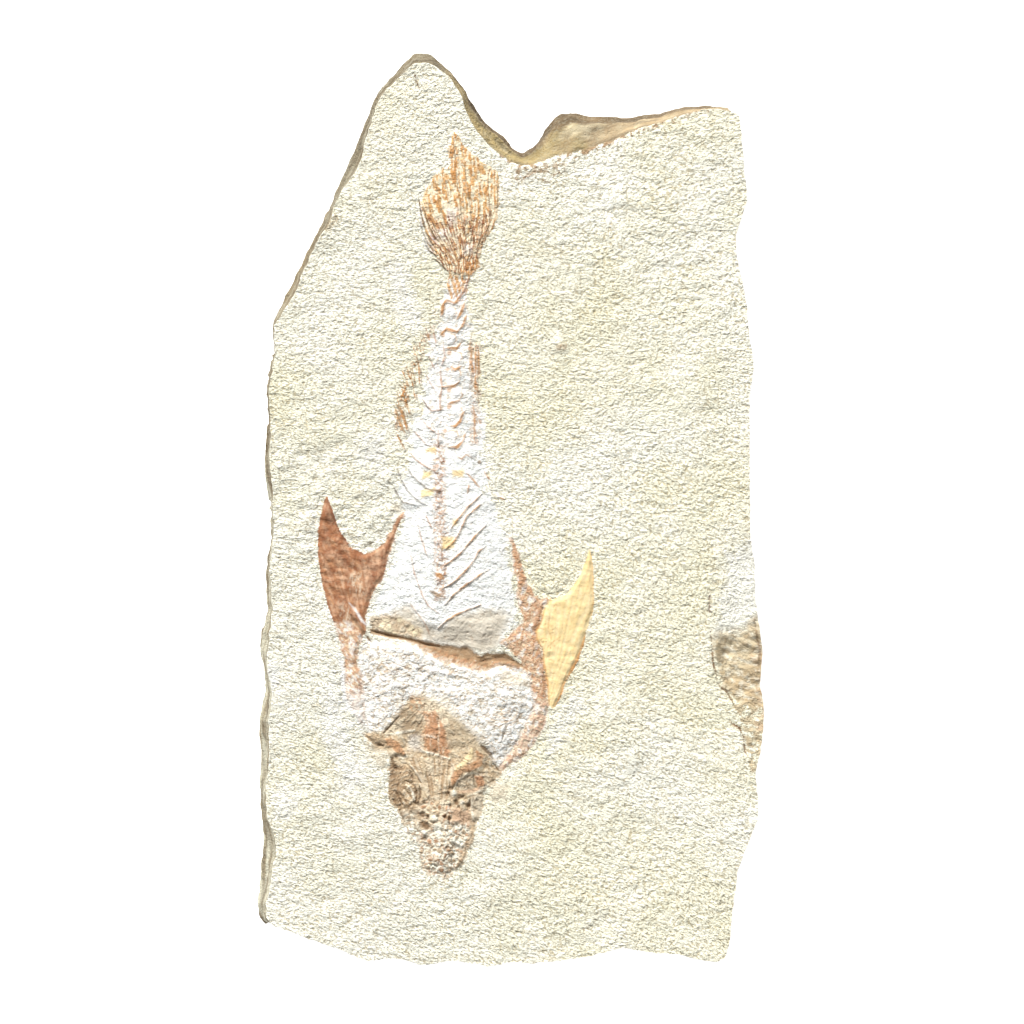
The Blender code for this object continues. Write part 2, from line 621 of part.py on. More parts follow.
def slab_edge():
    """The widest line, the top edge and the crease of the wall between them."""
    steep = np.array(STEEP_WALL, float)
    steep = np.column_stack([steep, steep])
    walls = np.vstack([LEFT_WALL, steep, NOTCH_WALL]).astype(float)
    widest, top = walls[:, :2], walls[:, 2:]
    into = inward(widest)
    leaning = slice(len(LEFT_WALL), len(LEFT_WALL) + len(steep))
    top[leaning] += EDGE_DRAFT * into[leaning]
    notched = np.arange(len(walls)) >= len(LEFT_WALL) + len(steep) + NOTCH_START
    crease = np.where(notched[:, None], NOTCH_CREASE, STEEP_CREASE)
    return widest, top, crease, into


def make_slab():
    widest, top, crease, into = slab_edge()
    mesh, ring = relief_sheet(top, stone_level, TOP_SPACING, [SCARP], SCARP_WIDTH, STONE_LUMPS)
    top_level = stone_level(top)
    roughness = [WALL_ROUGHNESS * ripple(widest, 4.3, seed) for seed in (2.2, 5.7, 9.1)]

    middle = top + (widest - top) * crease[:, :1]
    middle += np.maximum(roughness[0], -WALL_HOLLOW)[:, None] * into
    middle_level = top_level * crease[:, 1] + CREASE_WANDER * roughness[1]
    ring = loft_down(mesh, ring, np.column_stack([middle, middle_level]))
    widest_level = FOOT_LEVEL + FOOT_WANDER * roughness[2]
    ring = loft_down(mesh, ring, np.column_stack([widest, widest_level]))
    base = widest + (FOOT_UNDERCUT + roughness[1])[:, None] * into
    ring = loft_down(mesh, ring, np.column_stack([base, np.zeros(len(base))]))
    return finished_object("slab", mesh, ring, LIMESTONE)


def make_tail_fin():
    rays = fan(TAIL_ROOT, TAIL_RAY_ENDS, TAIL_RAY_BOW)

    def relief(points, edge):
        body = FIN_EDGE + (TAIL_BODY - FIN_EDGE) * smooth_step(edge / TAIL_BEVEL)
        return body + ridge_relief(points, rays, TAIL_RAY_HALF_WIDTH, TAIL_RAY_HEIGHT)

    return plate(
        "tail_fin", TAIL_OUTLINE, relief, ORANGE_RAYS, TAIL_SPACING, rays, TAIL_RAY_HALF_WIDTH
    )


def make_trunk():
    """The flattened body, with the vertebrae, arches, spines and ribs standing out of it."""
    bones = SPINES + FIN_REMAINS + RIBS + ARCHES
    vertebrae = [(x, y, VERTEBRA_RADIUS, VERTEBRA_HEIGHT) for x, y in column_points()]

    def relief(points, edge):
        reach = (points - BELLY_CENTRE) / BELLY_RADII
        belly = smooth_step(BELLY_FOOT - np.linalg.norm(reach, axis=1))
        body = TRUNK_EDGE + (TRUNK_RISE + TRUNK_BELLY * belly) * smooth_step(edge / TRUNK_BEVEL)
        raised = ridge_relief(points, bones, BONE_HALF_WIDTH, BONE_HEIGHT)
        return body + raised + lump_relief(points, vertebrae)

    return plate(
        "trunk", TRUNK_OUTLINE, relief, WHITE_REMAINS, TRUNK_SPACING, bones, BONE_HALF_WIDTH, vertebrae
    )


def make_shoulder():
    """The broken shield between the trunk and the skull, with its wrinkles."""

    def relief(points, edge):
        body = SHOULDER_EDGE + (SHOULDER_TOP - SHOULDER_EDGE) * smooth_step(edge / SHOULDER_BEVEL)
        body += ridge_relief(points, SHOULDER_WRINKLES, WRINKLE_HALF_WIDTH, WRINKLE_HEIGHT)
        rough_height, rough_length = SHOULDER_ROUGHNESS
        body += rough_height * ripple(points, rough_length, seed=4.2)
        return body + lump_relief(points, SHOULDER_LUMPS)

    return plate(
        "shoulder", SHOULDER_OUTLINE, relief, SHIELD_BONE, SHOULDER_SPACING, SHOULDER_WRINKLES,
        WRINKLE_HALF_WIDTH, SHOULDER_LUMPS,
    )


def make_skull():
    """The crushed skull, with its brows, eye sockets, nostrils and the knobs of its snout."""

    def relief(points, edge):
        body = SKULL_EDGE + (SKULL_TOP - SKULL_EDGE) * smooth_step(edge / SKULL_BEVEL)
        body += ridge_relief(points, SKULL_RIDGES, SKULL_RIDGE_HALF_WIDTH, SKULL_RIDGE_HEIGHT)
        return body + lump_relief(points, SKULL_LUMPS)

    return plate(
        "skull", SKULL_OUTLINE, relief, SKULL_BONE, SKULL_SPACING, SKULL_RIDGES,
        SKULL_RIDGE_HALF_WIDTH, SKULL_LUMPS,
    )


def make_pectoral_fin(name, outline, root, ray_ends, material):
    rays = fan(root, ray_ends)

    def relief(points, edge):
        body = FIN_EDGE + (FIN_HEIGHT - FIN_EDGE) * smooth_step(edge / FIN_BEVEL)
        return body + ridge_relief(points, rays, FIN_RAY_HALF_WIDTH, FIN_RAY_HEIGHT)

    return plate(name, outline, relief, material, FIN_SPACING, rays, FIN_RAY_HALF_WIDTH)


def main():
    for leftover in list(bpy.data.objects):
        bpy.data.objects.remove(leftover, do_unlink=True)
    bpy.context.scene.collection.children.link(bpy.data.collections.new(OBJECT_NAME))
    make_slab()
    make_tail_fin()
    make_trunk()
    make_shoulder()
    make_skull()
    make_pectoral_fin(
        "left_pectoral_fin", LEFT_FIN_OUTLINE, LEFT_FIN_ROOT, LEFT_FIN_RAY_ENDS, BROWN_FIN
    )
    make_pectoral_fin(
        "right_pectoral_fin", RIGHT_FIN_OUTLINE, RIGHT_FIN_ROOT, RIGHT_FIN_RAY_ENDS, YELLOW_FIN
    )


main()
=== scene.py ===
"""Looks of the fossil fish slab: cream limestone with a whitened fish, brown skull and coloured fins.

One function of x and y gives the relief and the paint of the whole face, and each piece is a tile
of it, so neighbouring pieces meet without a seam. Lists are in millimetres, and MM makes them metres.
"""

import math

import bmesh
import bpy
import numpy as np
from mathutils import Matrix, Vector, geometry, kdtree, noise


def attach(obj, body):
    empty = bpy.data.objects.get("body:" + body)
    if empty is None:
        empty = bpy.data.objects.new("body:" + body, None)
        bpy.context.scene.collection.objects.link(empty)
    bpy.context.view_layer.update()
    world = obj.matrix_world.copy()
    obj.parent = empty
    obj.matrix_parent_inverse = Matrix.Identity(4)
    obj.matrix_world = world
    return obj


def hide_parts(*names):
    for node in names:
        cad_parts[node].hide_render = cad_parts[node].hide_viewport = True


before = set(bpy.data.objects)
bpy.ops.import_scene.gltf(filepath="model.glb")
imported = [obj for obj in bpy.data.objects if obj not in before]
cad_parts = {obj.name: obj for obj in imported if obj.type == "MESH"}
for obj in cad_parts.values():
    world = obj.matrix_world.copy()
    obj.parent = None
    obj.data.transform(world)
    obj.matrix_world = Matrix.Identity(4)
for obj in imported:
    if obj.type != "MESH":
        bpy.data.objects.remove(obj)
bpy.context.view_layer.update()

MM = 0.001

# --- The stone, as in the CAD source ---

THICKNESS = 16.0
HALF_WIDTH = 84.5
HALF_LENGTH = 152.5
FOOT_LEVEL = 5.5
FOOT_UNDERCUT = 1.2
EDGE_DRAFT = 0.5
STEEP_CREASE = (0.45, 0.62)
NOTCH_CREASE = (0.74, 0.66)
UNDULATION = 0.5
UNDULATION_LENGTH = 42.0

# Widest line (x, y), then top edge (x, y), anticlockwise from above.
LEFT_WALL = [
    (-28, 152.5, -28.6, 149.4), (-31.6, 152.5, -31.4, 149.2), (-33.4, 151.4, -33, 148.8),
    (-35.6, 149, -34.8, 147.6), (-38, 145.5, -37.2, 144.8),
    (-43, 141, -42.2, 140.2), (-45.5, 137.5, -44.3, 136.7), (-49, 128, -47.8, 127.6),
    (-51, 122.5, -49.3, 122), (-53.5, 117, -50, 117.5), (-56, 111.5, -52.8, 112),
    (-58.3, 106, -57, 106.5), (-60.5, 101, -59.3, 101.3), (-63, 96, -60.5, 96.5),
    (-66, 90, -64.7, 90), (-70.7, 80, -69.7, 79.5), (-73.2, 75, -71.5, 74.3),
    (-78.5, 65.2, -77.3, 64.8), (-79.8, 61.5, -79.2, 61.3), (-79.1, 53, -78.6, 53),
    (-81.1, 46, -80.1, 45.6), (-81.7, 41, -81, 41), (-81, 30, -80.3, 30),
    (-82.2, 19, -80.9, 19.3), (-82.2, 14, -80.7, 14), (-80.6, 4.5, -79.7, 4.5),
    (-79.9, -9, -79.2, -9), (-81.8, -20.5, -80.8, -20.5), (-81.2, -33, -80.1, -33),
    (-83.2, -43, -81, -43), (-84, -48, -81.9, -48), (-82.2, -55, -81.2, -55),
    (-82.4, -61, -80, -61), (-84.2, -71.5, -81.3, -71.5), (-83.2, -80.5, -80.9, -80.5),
    (-83.9, -92, -82, -92), (-83, -103, -81.8, -103), (-82.6, -108, -79.3, -108),
    (-82.9, -115, -78.7, -115), (-83.4, -121, -79.9, -121), (-84.5, -132, -82.1, -132),
    (-83.4, -136.8, -82, -136.2),
]
STEEP_WALL = [
    (-79, -138.7), (-68, -142.8), (-56, -147.2), (-48, -150.7), (-43, -150), (-37, -149.8),
    (-29, -152.1), (-20, -150.3), (-12, -151.2), (-8, -152.5), (1, -150.7), (6, -151.3),
    (18, -150.3), (28, -148.4), (37, -146.3), (47, -147.7), (57, -148.4), (61, -149.9),
    (69, -150.8), (72, -149), (73, -144), (74.3, -131), (75.8, -120), (79.5, -110.5),
    (82.6, -102.5), (82.6, -98), (81.6, -88.5), (83.4, -80.5), (84.5, -70.5), (84.4, -65.5),
    (83.1, -57), (84, -49.5), (84, -45.5), (82.3, -35), (81.6, -30), (81.3, -18),
    (79.9, -8), (79.8, 12), (79.7, 38), (81.3, 47.5), (79.8, 56.5), (78.9, 67.5),
    (77.2, 76.5), (75.2, 85), (75.2, 92), (79, 103.5), (77.9, 112.5), (76.8, 129.5),
    (75.6, 132.3),
]
NOTCH_WALL = [
    (73, 133.8, 72.5, 133.2), (66, 135.1, 65.5, 134.3), (58, 134.2, 58, 132.4),
    (50, 132, 50, 129.6), (41, 130.8, 41, 127), (36, 131, 37, 124.8),
    (31, 131.1, 32, 122.6), (26, 131.3, 27, 120.6), (22.5, 132.3, 22.6, 119.3),
    (20, 132.9, 19.8, 118.6), (17.2, 132.5, 17, 118), (14.8, 131.3, 14.5, 117.6),
    (11.5, 127, 10.5, 116.2), (8, 121.7, 7, 115.3),
    (4, 118.5, 3.5, 115.1), (0, 121.2, -0.5, 116.5), (-4, 125.8, -5.8, 120.3),
    (-10, 131, -11, 126.3), (-14, 137, -15, 133.3), (-16, 141, -16.3, 138.3),
    (-20, 145.9, -19.5, 144), (-25, 150.2, -24, 147.5), (-26.4, 151.8, -26, 148.8),
]
SCARP = [
    (66, -28), (66.5, -38), (67, -47), (67.8, -53), (69.2, -57.5), (72, -60.5), (74.6, -65.5),
    (76.4, -72), (78, -80), (79.4, -88),
]
CHIP_CLOSING = [(92, -88), (92, -28)]
CHIP_DEPTHS = [(-88, 0.0), (-76, 0.7), (-66, 1.5), (-58, 2.4), (-48, 2.3), (-30, 0.0)]  # y, depth
SCARP_WIDTH = 5.0
SHELF_START = 64.0  # the shelf round the chip falls away to the right of this line,
SHELF_TOP = -6.0  # between these two levels along the slab
SHELF_BOTTOM = -64.0
SHELF_FADES = (16.0, 14.0)  # across the slab and along it
SHELF_DEPTH = 1.5
STONE_LUMPS = [
    (16, 55, 4.0, 0.8), (36, 103, 5.0, 0.5), (7, 107, 6.0, -0.7), (-61, 84, 7.0, -0.6),
    (-48, 104, 8.0, 0.5), (30, -139, 7.0, -0.6), (60, 40, 12.0, 0.5), (-68, -100, 10.0, 0.5),
    (44, -92, 12.0, -0.5),
]
REMAINS_SPAN = [
    (128, -22, -15), (110, -30, -4), (95, -32, -3), (80, -28, -10), (55, -31, -9),
    (30, -40, -9), (6, -64, -1), (-8, -66, 27), (-50, -66, 28), (-66, -58, 17),
    (-88, -50, 1), (-105, -40, -8), (-125, -30, -14),
]
ROUGH_PLACES = [(-66, 8, 66, 1.2), (44, 108, 44, 0.5), (-62, -96, 50, 0.5)]  # x, y, radius, how much more
RIPPLE_TURN = -14.0
RIPPLES = [(0.25, (7.5, 5.0), 11.3), (0.23, (3.4, 1.9), 4.4)]  # height, length, seed
BED_MARGIN = 4.0
BED_FADE = 16.0

# --- The tiles: each piece's outline, a little wider than what it shows, and its point spacing ---

TILES = {
    "skull": (0.25, [
        (-49.6, -74), (-48, -80.5), (-43, -81.4), (-41.8, -84), (-42, -93), (-41.4, -99),
        (-36.6, -106), (-34, -106.8), (-33, -109), (-32, -117), (-31, -121), (-27.6, -123),
        (-24.6, -123.4), (-22.5, -125.6), (-20, -123), (-14.4, -119), (-11.2, -110.6),
        (-9.2, -102.4), (-7.2, -95.6), (-5.6, -92), (-3, -88.6), (-3, -84.4), (-7, -79.8),
        (-9.8, -77.4), (-16, -70.4), (-21.2, -65.6), (-25.4, -63), (-30, -61), (-34.5, -61.6),
        (-38, -67.4), (-42, -72.4),
    ]),
    "left_pectoral_fin": (0.28, [
        (-61, 7), (-64, 3.4), (-65.8, -5), (-66.3, -13), (-65.3, -21.4), (-63, -31.6),
        (-60, -40), (-58, -47.4), (-57, -54.2), (-56.4, -62.4), (-54.4, -69.4), (-51, -76),
        (-47, -75), (-47.4, -66), (-48, -58), (-49.6, -52.6), (-49.4, -48.6), (-47.4, -44.4),
        (-46, -41), (-46.6, -34), (-45.4, -30.6), (-43.4, -27), (-41.4, -24), (-40, -18.4),
        (-38.4, -12.4), (-36.6, -7), (-34.6, -3), (-35, 0.6), (-38, 0.8), (-41.4, -4.4),
        (-43.6, -8.4), (-46, -11), (-49, -12.6), (-52, -11.6), (-54.4, -8.4), (-56.6, -3.4),
        (-58.4, 2.6),
    ]),
    "right_pectoral_fin": (0.28, [
        (-1, -7.6), (1, -8), (4.4, -13.6), (6, -19.4), (7.4, -23), (10, -27), (13, -28.2),
        (17, -26.8), (18.6, -25), (21.4, -20), (23.4, -16), (24.8, -10.6), (27, -10.6),
        (29, -16), (29.4, -20), (29.6, -30), (29.2, -35), (27, -42), (24, -51), (21.4, -55.6),
        (18.4, -63), (16, -67.6), (13.4, -71), (11.4, -75), (9.2, -79.4), (6.4, -82.8),
        (3.4, -85.4), (0.6, -87), (-4, -89.6), (-5, -87), (-2.6, -83), (-0.4, -79.6), (2, -76),
        (3.4, -73), (4.6, -69.8), (6.4, -67), (7, -64), (6, -60), (6, -57), (4, -53.6),
        (2, -50.6), (-0.6, -48.6), (-4, -46), (-4, -42.6), (0.4, -39.4), (2.6, -37.6),
        (1.4, -32), (0.8, -25), (0, -20), (-0.6, -16),
    ]),
    "shoulder": (0.27, [
        (-49, -42.6), (-42, -41), (-35, -42), (-29, -43.6), (-23, -44.6), (-17, -45.6),
        (-12, -46.4), (-6, -47), (0, -48), (5.4, -51.6), (8.6, -56), (8.8, -61), (9.6, -65),
        (8.2, -69), (6.4, -73), (3.6, -79), (0, -85), (-3, -88), (-6, -87), (-9.6, -82),
        (-12, -79.8), (-18.4, -72.6), (-23, -68.6), (-27, -66), (-31, -64.6), (-32.8, -65.2),
        (-35.4, -70), (-41.4, -76.2), (-49.4, -76.4), (-50.4, -67), (-50.8, -60),
        (-51.4, -55.6), (-53, -52), (-52.4, -47), (-51, -43.4),
    ]),
    "trunk": (0.31, [
        (-22.5, 79.5), (-24.4, 73), (-25.8, 67), (-27, 64), (-29.4, 60.5), (-31.4, 56),
        (-34.5, 52.5), (-37.6, 48.5), (-39.4, 42), (-40, 36), (-41.2, 31), (-40.8, 24),
        (-39.5, 20.5), (-41, 15.5), (-44, 11), (-41, 3), (-37.6, -0.2), (-39, -5), (-41, -10),
        (-42.8, -16), (-44.2, -21.5), (-46.4, -24.5), (-48, -29), (-49.4, -34), (-49, -41),
        (-42, -43), (-35, -44.2), (-29, -46), (-23, -47.5), (-17, -49), (-12, -50.4),
        (-7, -50.6), (-3, -48), (-1, -44.5), (3, -42), (4.6, -38), (4, -32), (3.4, -25),
        (2.4, -19), (1.4, -12), (-0.4, -6), (-2, -1.4), (0.6, 4.4), (-3.4, 8.6), (-4.4, 13.4),
        (-6.8, 18.6), (-8, 25), (-8.4, 36), (-7.4, 48), (-9, 57), (-11.2, 63), (-12.6, 68),
        (-12.2, 73), (-11.6, 79.5),
    ]),
    "tail_fin": (0.23, [
        (-19, 128), (-22.5, 121), (-21.8, 115.8), (-24, 115), (-28.8, 109), (-30, 107.4),
        (-33, 107), (-32.8, 99), (-31.4, 91.5), (-30.2, 84), (-24.5, 78.6), (-21, 77.5),
        (-13.4, 77.5), (-9.6, 80), (-8.4, 86), (-6.6, 89), (-3.6, 93.4), (-2.2, 101),
        (-2.2, 110), (-3.4, 114.4), (-9, 118), (-13.4, 121.6), (-16, 126),
    ]),
}
SLAB_SPACING = 0.95
FINE_AREA = [(66, -90), (90, -90), (90, -36), (66, -36)]  # round the chip
FINE_SPACING = 0.6
UNDERSIDE_SPACING = 3.0
UNDERSIDE_FADE = 6.0  # how far in from its edge the underside reaches its full roughness
NOTCH_START = 2  # the notch's own crease starts at this point of its wall
RAGGED_LEFT = -40.0  # the top edge is more ragged to the left of this line
RAGGEDNESS = (0.5, 0.2)
SIDE_COVER = 0.92
SIDE_GRAIN = 0.9
WALL_ROWS = 22
WALL_STOPS = [0.0, 0.34, 0.7, 1.0]  # of the rows: at the top, the crease, the widest line, the base
WALL_ROUGHNESS = 0.8
CREASE_WANDER = 1.1  # how far the crease and the widest line wander in height
FOOT_WANDER = 1.4
WANDER_LENGTH = 4.3
BED = 2.3  # thickness of the beds in the broken edge
BED_BEND = 0.6
BED_APART = 40.0  # how far apart the noise is read for two beds
STEEP_DRAFT = 0.15  # where the edge stands almost upright
STEEP_OFFSET = 0.9
NOTCH_LIP = 11.4  # the notch is dark below this level
PALE_FACET = (21.0, 127.0)  # a whitish patch in the notch
PALE_FACET_SIZE = (7.0, 3.4)
TILE_BASE = 14.2  # underside of the tiles
SUNK_LEVEL = 13.8  # the slab's face under the tiles
BURIED_DEPTH = 1.0  # how far a tile sinks where another covers it
OVERLAP = 0.4  # how far two tiles both lie at the surface where they meet

# --- Colours, as they look under the scene's light, 0 to 255 ---

CREAM = (251, 250, 235)
CREAM_WARM = (247, 244, 220)
# painted shade for the hollows of the stone's grain, plain and warm
GRAIN_PAINTED_SHADE = (176, 161, 126)
GRAIN_PAINTED_SHADE_WARM = (182, 162, 110)
# painted shade for the grain's hollows on the painted remains
PAINTED_SHADE_ON_PAINT = (166, 162, 142)
WALL_TAN = (176, 157, 124)
CHIP_TAN = (214, 198, 166)
SHELF_WHITE = (254, 253, 243)
CHIP_BROWN = (188, 164, 128)
WALL_DARK = (134, 116, 88)
WALL_PALE = (212, 199, 168)
NOTCH_TAN = (152, 133, 104)
NOTCH_OLIVE = (146, 129, 90)
NOTCH_DARK = (104, 88, 66)
WHITE = (248, 251, 249)
BRIGHT = (255, 255, 253)
TAN = (211, 198, 175)
LIGHT_BROWN = (203, 178, 146)
BROWN = (170, 140, 108)
DARK_BROWN = (132, 102, 74)
RED_BROWN = (186, 134, 98)
DEEP_RED = (156, 102, 70)
PINK_BROWN = (214, 178, 148)
ORANGE = (222, 172, 112)
DEEP_ORANGE = (200, 142, 84)
TAIL_CREAM = (248, 239, 213)
YELLOW = (240, 220, 173)
YELLOW_DEEP = (236, 206, 142)
STRAW = (247, 234, 200)
FIN_BROWN = (192, 142, 104)
PURPLE_BROWN = (168, 130, 106)
TAN_BONE = (207, 187, 156)
PALE_BONE = (234, 221, 196)
BROWN_BONE = (184, 158, 126)
GREY_BROWN = (186, 170, 144)
STONE_BLUE = (222, 226, 226)
ORANGE_BROWN = (200, 148, 106)
DEEP_BROWN = (112, 86, 60)
DARK_RED = (138, 86, 58)


def linear(colour):
    """Light values of a colour given as it looks on screen."""
    share = np.array(colour, float) / 255.0
    return np.where(share <= 0.04045, share / 12.92, ((share + 0.055) / 1.055) ** 2.4)


# --- Plane geometry, on arrays of (x, y) ---


def smooth_step(share):
    share = np.clip(share, 0.0, 1.0)
    return share * share * (3.0 - 2.0 * share)


def closed(outline):
    return list(outline) + [outline[0]]


def distance_along(points, line):
    """Distance from each point to an open line, and the share of the line's length passed there."""
    line = np.array(line, float)
    lengths = np.linalg.norm(np.diff(line, axis=0), axis=1)
    passed = np.concatenate([[0.0], np.cumsum(lengths)])
    nearest = np.full(len(points), np.inf)
    share = np.zeros(len(points))
    for index, (start, end) in enumerate(zip(line[:-1], line[1:])):
        run = end - start
        along = np.clip((points - start) @ run / max(run @ run, 1e-9), 0.0, 1.0)
        gap = np.linalg.norm(points - start - along[:, None] * run, axis=1)
        closer = gap < nearest
        nearest[closer] = gap[closer]
        share[closer] = (passed[index] + along[closer] * lengths[index]) / passed[-1]
    return nearest, share


def is_inside(points, outline):
    found = np.zeros(len(points), bool)
    x, y = points[:, 0], points[:, 1]
    for (x0, y0), (x1, y1) in zip(outline, closed(outline)[1:]):
        if y0 != y1:
            found ^= ((y0 > y) != (y1 > y)) & (x < x0 + (x1 - x0) * (y - y0) / (y1 - y0))
    return found


def depth_inside(points, outline):
    """Distance to the outline, positive inside it and negative outside."""
    gap = distance_along(points, closed(outline))[0]
    return np.where(is_inside(points, outline), gap, -gap)


def inward(points):
    """Unit vectors that point into an anticlockwise outline at each of its points."""
    forward = np.roll(points, -1, 0) - np.roll(points, 1, 0)
    forward /= np.linalg.norm(forward, axis=1)[:, None]
    return np.column_stack([-forward[:, 1], forward[:, 0]])


def ripple(points, length, seed):
    """Smooth noise from about -1 to 1. The length is one number, or one along x and one along y."""
    scaled = points / np.broadcast_to(length, 2)
    return np.array([noise.noise(Vector((x, y, seed))) for x, y in scaled])


def turned(points, degrees):
    """The points in axes turned anticlockwise."""
    angle = math.radians(degrees)
    x, y = points[:, 0], points[:, 1]
    across = x * math.cos(angle) + y * math.sin(angle)
    return np.column_stack([across, y * math.cos(angle) - x * math.sin(angle)])


def moved(lines, right, up):
    """The lines, all shifted by one step."""
    return [[(x + right, y + up) for x, y in line] for line in lines]


def place_across(line, y):
    """Where a line that runs down the slab lies across it, at each height."""
    return np.interp(y, *np.array(line[::-1], float).T[::-1])


# --- The stone's own relief ---


def off_the_remains(points):
    """0 on the flat stone that carries the remains, and 1 well away from them."""
    levels, least, greatest = np.array(REMAINS_SPAN[::-1], float).T
    x, y = points[:, 0], points[:, 1]
    beside = np.maximum(np.interp(y, levels, least) - x, x - np.interp(y, levels, greatest))
    beyond = np.maximum(y - levels[-1], levels[0] - y)
    return smooth_step((np.maximum(beside, beyond) - BED_MARGIN) / BED_FADE)


def chip_depth(points):
    """How far the chip in the right-hand edge lies below the face."""
    inside = is_inside(points, SCARP + CHIP_CLOSING)
    depth = np.interp(points[:, 1], *np.transpose(CHIP_DEPTHS)) * (1.0 + 0.2 * ripple(points, 5.0, 8.4))
    return smooth_step(distance_along(points, SCARP)[0] / SCARP_WIDTH) * depth * inside


def shelf_share(points):
    """How far the shelf round the chip has fallen away, from 0 to 1."""
    x, y = points[:, 0], points[:, 1]
    across = smooth_step((x - SHELF_START) / SHELF_FADES[0])
    return across * smooth_step((SHELF_TOP - y) / SHELF_FADES[1]) * (y > SHELF_BOTTOM)


def stone_level(points):
    """Height of the stone's face, with the swell, lumps and chip of the CAD slab and its grain."""
    swell = UNDULATION * ripple(points, UNDULATION_LENGTH, 3.1)
    for x, y, radius, height in STONE_LUMPS:
        share = np.linalg.norm(points - (x, y), axis=1) / radius
        swell += height * smooth_step(1.0 - share)
    chip = chip_depth(points)
    shelf = SHELF_DEPTH * shelf_share(points)
    rough = np.ones(len(points))
    for x, y, radius, more in ROUGH_PLACES:
        rough += more * smooth_step(1.0 - np.linalg.norm(points - (x, y), axis=1) / radius)
    grain = np.zeros(len(points))
    for height, length, seed in RIPPLES:
        grain += height * rough * ripple(turned(points, RIPPLE_TURN), length, seed)
    return THICKNESS + off_the_remains(points) * swell - np.maximum(shelf, chip) + grain


# --- The face: relief and paint at many points ---

PLATE_EDGE = 1.4  # over how far the edge of a plate is rounded

class Face:
    """Height, paint, how far the paint covers the stone, and how strong the stone's grain is."""

    def __init__(self, points):
        self.points = points
        self.height = stone_level(points)
        self.paint = np.zeros((len(points), 3))
        self.cover = np.zeros(len(points))
        self.grain = np.ones(len(points))
        self.fine = ripple(points, 0.9, 1.7)
        self.coarse = ripple(points, 2.8, 6.1)
        self.broad = ripple(points, 8.0, 9.6)

    def near(self, line, margin):
        """Which points lie in the box round a line, widened by a margin."""
        low = np.min(line, axis=0) - margin
        high = np.max(line, axis=0) + margin
        return np.flatnonzero(((self.points > low) & (self.points < high)).all(axis=1))

    def lay(self, where, colour, share):
        """Lays a colour over what is painted already."""
        share = np.clip(share, 0.0, 1.0)
        below = self.cover[where] * (1.0 - share)
        total = np.maximum(share + below, 1e-6)
        mixed = self.paint[where] * below[:, None] + linear(colour) * share[:, None]
        self.paint[where] = mixed / total[:, None]
        self.cover[where] = share + below

    def share_in(self, where, outline, feather, ragged):
        """1 inside an outline and 0 outside it, across a soft and ragged edge."""
        depth = depth_inside(self.points[where], outline)
        depth += ragged * (0.7 * self.coarse[where] + 0.5 * self.fine[where])
        return smooth_step(0.5 + depth / (2.0 * feather))

    def wash(self, outline, colour, cover=1.0, feather=0.8, ragged=0.8, rise=0.0, grain=None):
        """Paints an area with soft, uneven edges."""
        where = self.near(outline, feather + 2.0 * ragged)
        share = self.share_in(where, outline, feather, ragged)
        self.lay(where, colour, cover * share)
        self.height[where] += rise * share
        if grain is not None:
            self.grain[where] += (grain - self.grain[where]) * share

    def mottle(self, outline, colour, cover, size, amount=0.5, seed=0.0, rise=0.0, turn=28.0):
        """Paints uneven patches over an area. amount is the share of it that they take."""
        where = self.near(outline, 2.0)
        share = self.share_in(where, outline, 0.9, 1.0)
        pattern = ripple(turned(self.points[where], turn), size, 20.0 + seed)
        finer = turned(self.points[where], turn + 32.0)
        pattern += 0.55 * ripple(finer, np.array(size) * 0.45, 31.0 + seed)
        share *= smooth_step(0.5 + (pattern - (0.5 - amount) * 1.2) / 0.35)
        self.lay(where, colour, cover * share)
        self.height[where] += rise * share

    def crazing(self, outline, colour, cover, size, width=0.1, seed=0.0, rise=-0.12):
        """Thin broken lines over an area, where a noise crosses zero."""
        where = self.near(outline, 1.0)
        share = self.share_in(where, outline, 0.9, 0.8)
        pattern = np.abs(ripple(self.points[where], size, 50.0 + seed) + 0.2 * self.fine[where])
        gaps = smooth_step(0.55 + 1.6 * ripple(self.points[where], np.array(size) * 1.4, 61.0 + seed))
        share *= smooth_step(1.0 - pattern / width) * gaps
        self.lay(where, colour, cover * share)
        self.height[where] += rise * share

    def fibres(self, outline, root, colour, cover, pitch, seed=0.0, rise=0.0, amount=0.5):
        """Lines that fan out from a root over an area, about a pitch apart at mid-length."""
        where = self.near(outline, 1.0)
        share = self.share_in(where, outline, 0.4, 0.3)
        reach = self.points[where] - root
        radius = np.linalg.norm(reach, axis=1)
        middle = np.median(radius)
        turn = np.arctan2(reach[:, 1], reach[:, 0]) * middle
        pattern = ripple(np.column_stack([turn, radius]), (pitch, pitch * 14.0), 70.0 + seed)
        pattern += 0.35 * ripple(np.column_stack([turn, radius]), (pitch * 0.5, pitch * 5.0), 5.0 + seed)
        share *= smooth_step(0.5 + (pattern - (0.5 - amount)) / 0.4)
        self.lay(where, colour, cover * share)
        self.height[where] += rise * share

    def streaks(self, outline, rays, colour, cover, pitch, length, seed=0.0, rise=0.0, amount=0.5):
        """Broken lines along a fan of rays, which are listed from left to right and run downwards."""
        where = self.near(outline, 1.0)
        share = self.share_in(where, outline, 0.5, 0.9)
        x, y = self.points[where].T
        places = [place_across(ray, y) for ray in rays]
        order = np.minimum(x - places[0], 0.0) + np.maximum(x - places[-1], 0.0)
        for left, right in zip(places, places[1:]):
            order += np.clip((x - left) / np.maximum(right - left, 0.05), 0.0, 1.0)
        flow = np.column_stack([order, y + 0.6 * self.coarse[where]])
        pattern = ripple(flow, (pitch, length), 80.0 + seed)
        pattern += 0.5 * ripple(flow, (pitch * 0.6, length * 0.3), 91.0 + seed)
        share *= smooth_step(0.5 + (pattern - (0.5 - amount)) / 0.3)
        self.lay(where, colour, cover * share)
        self.height[where] += rise * share

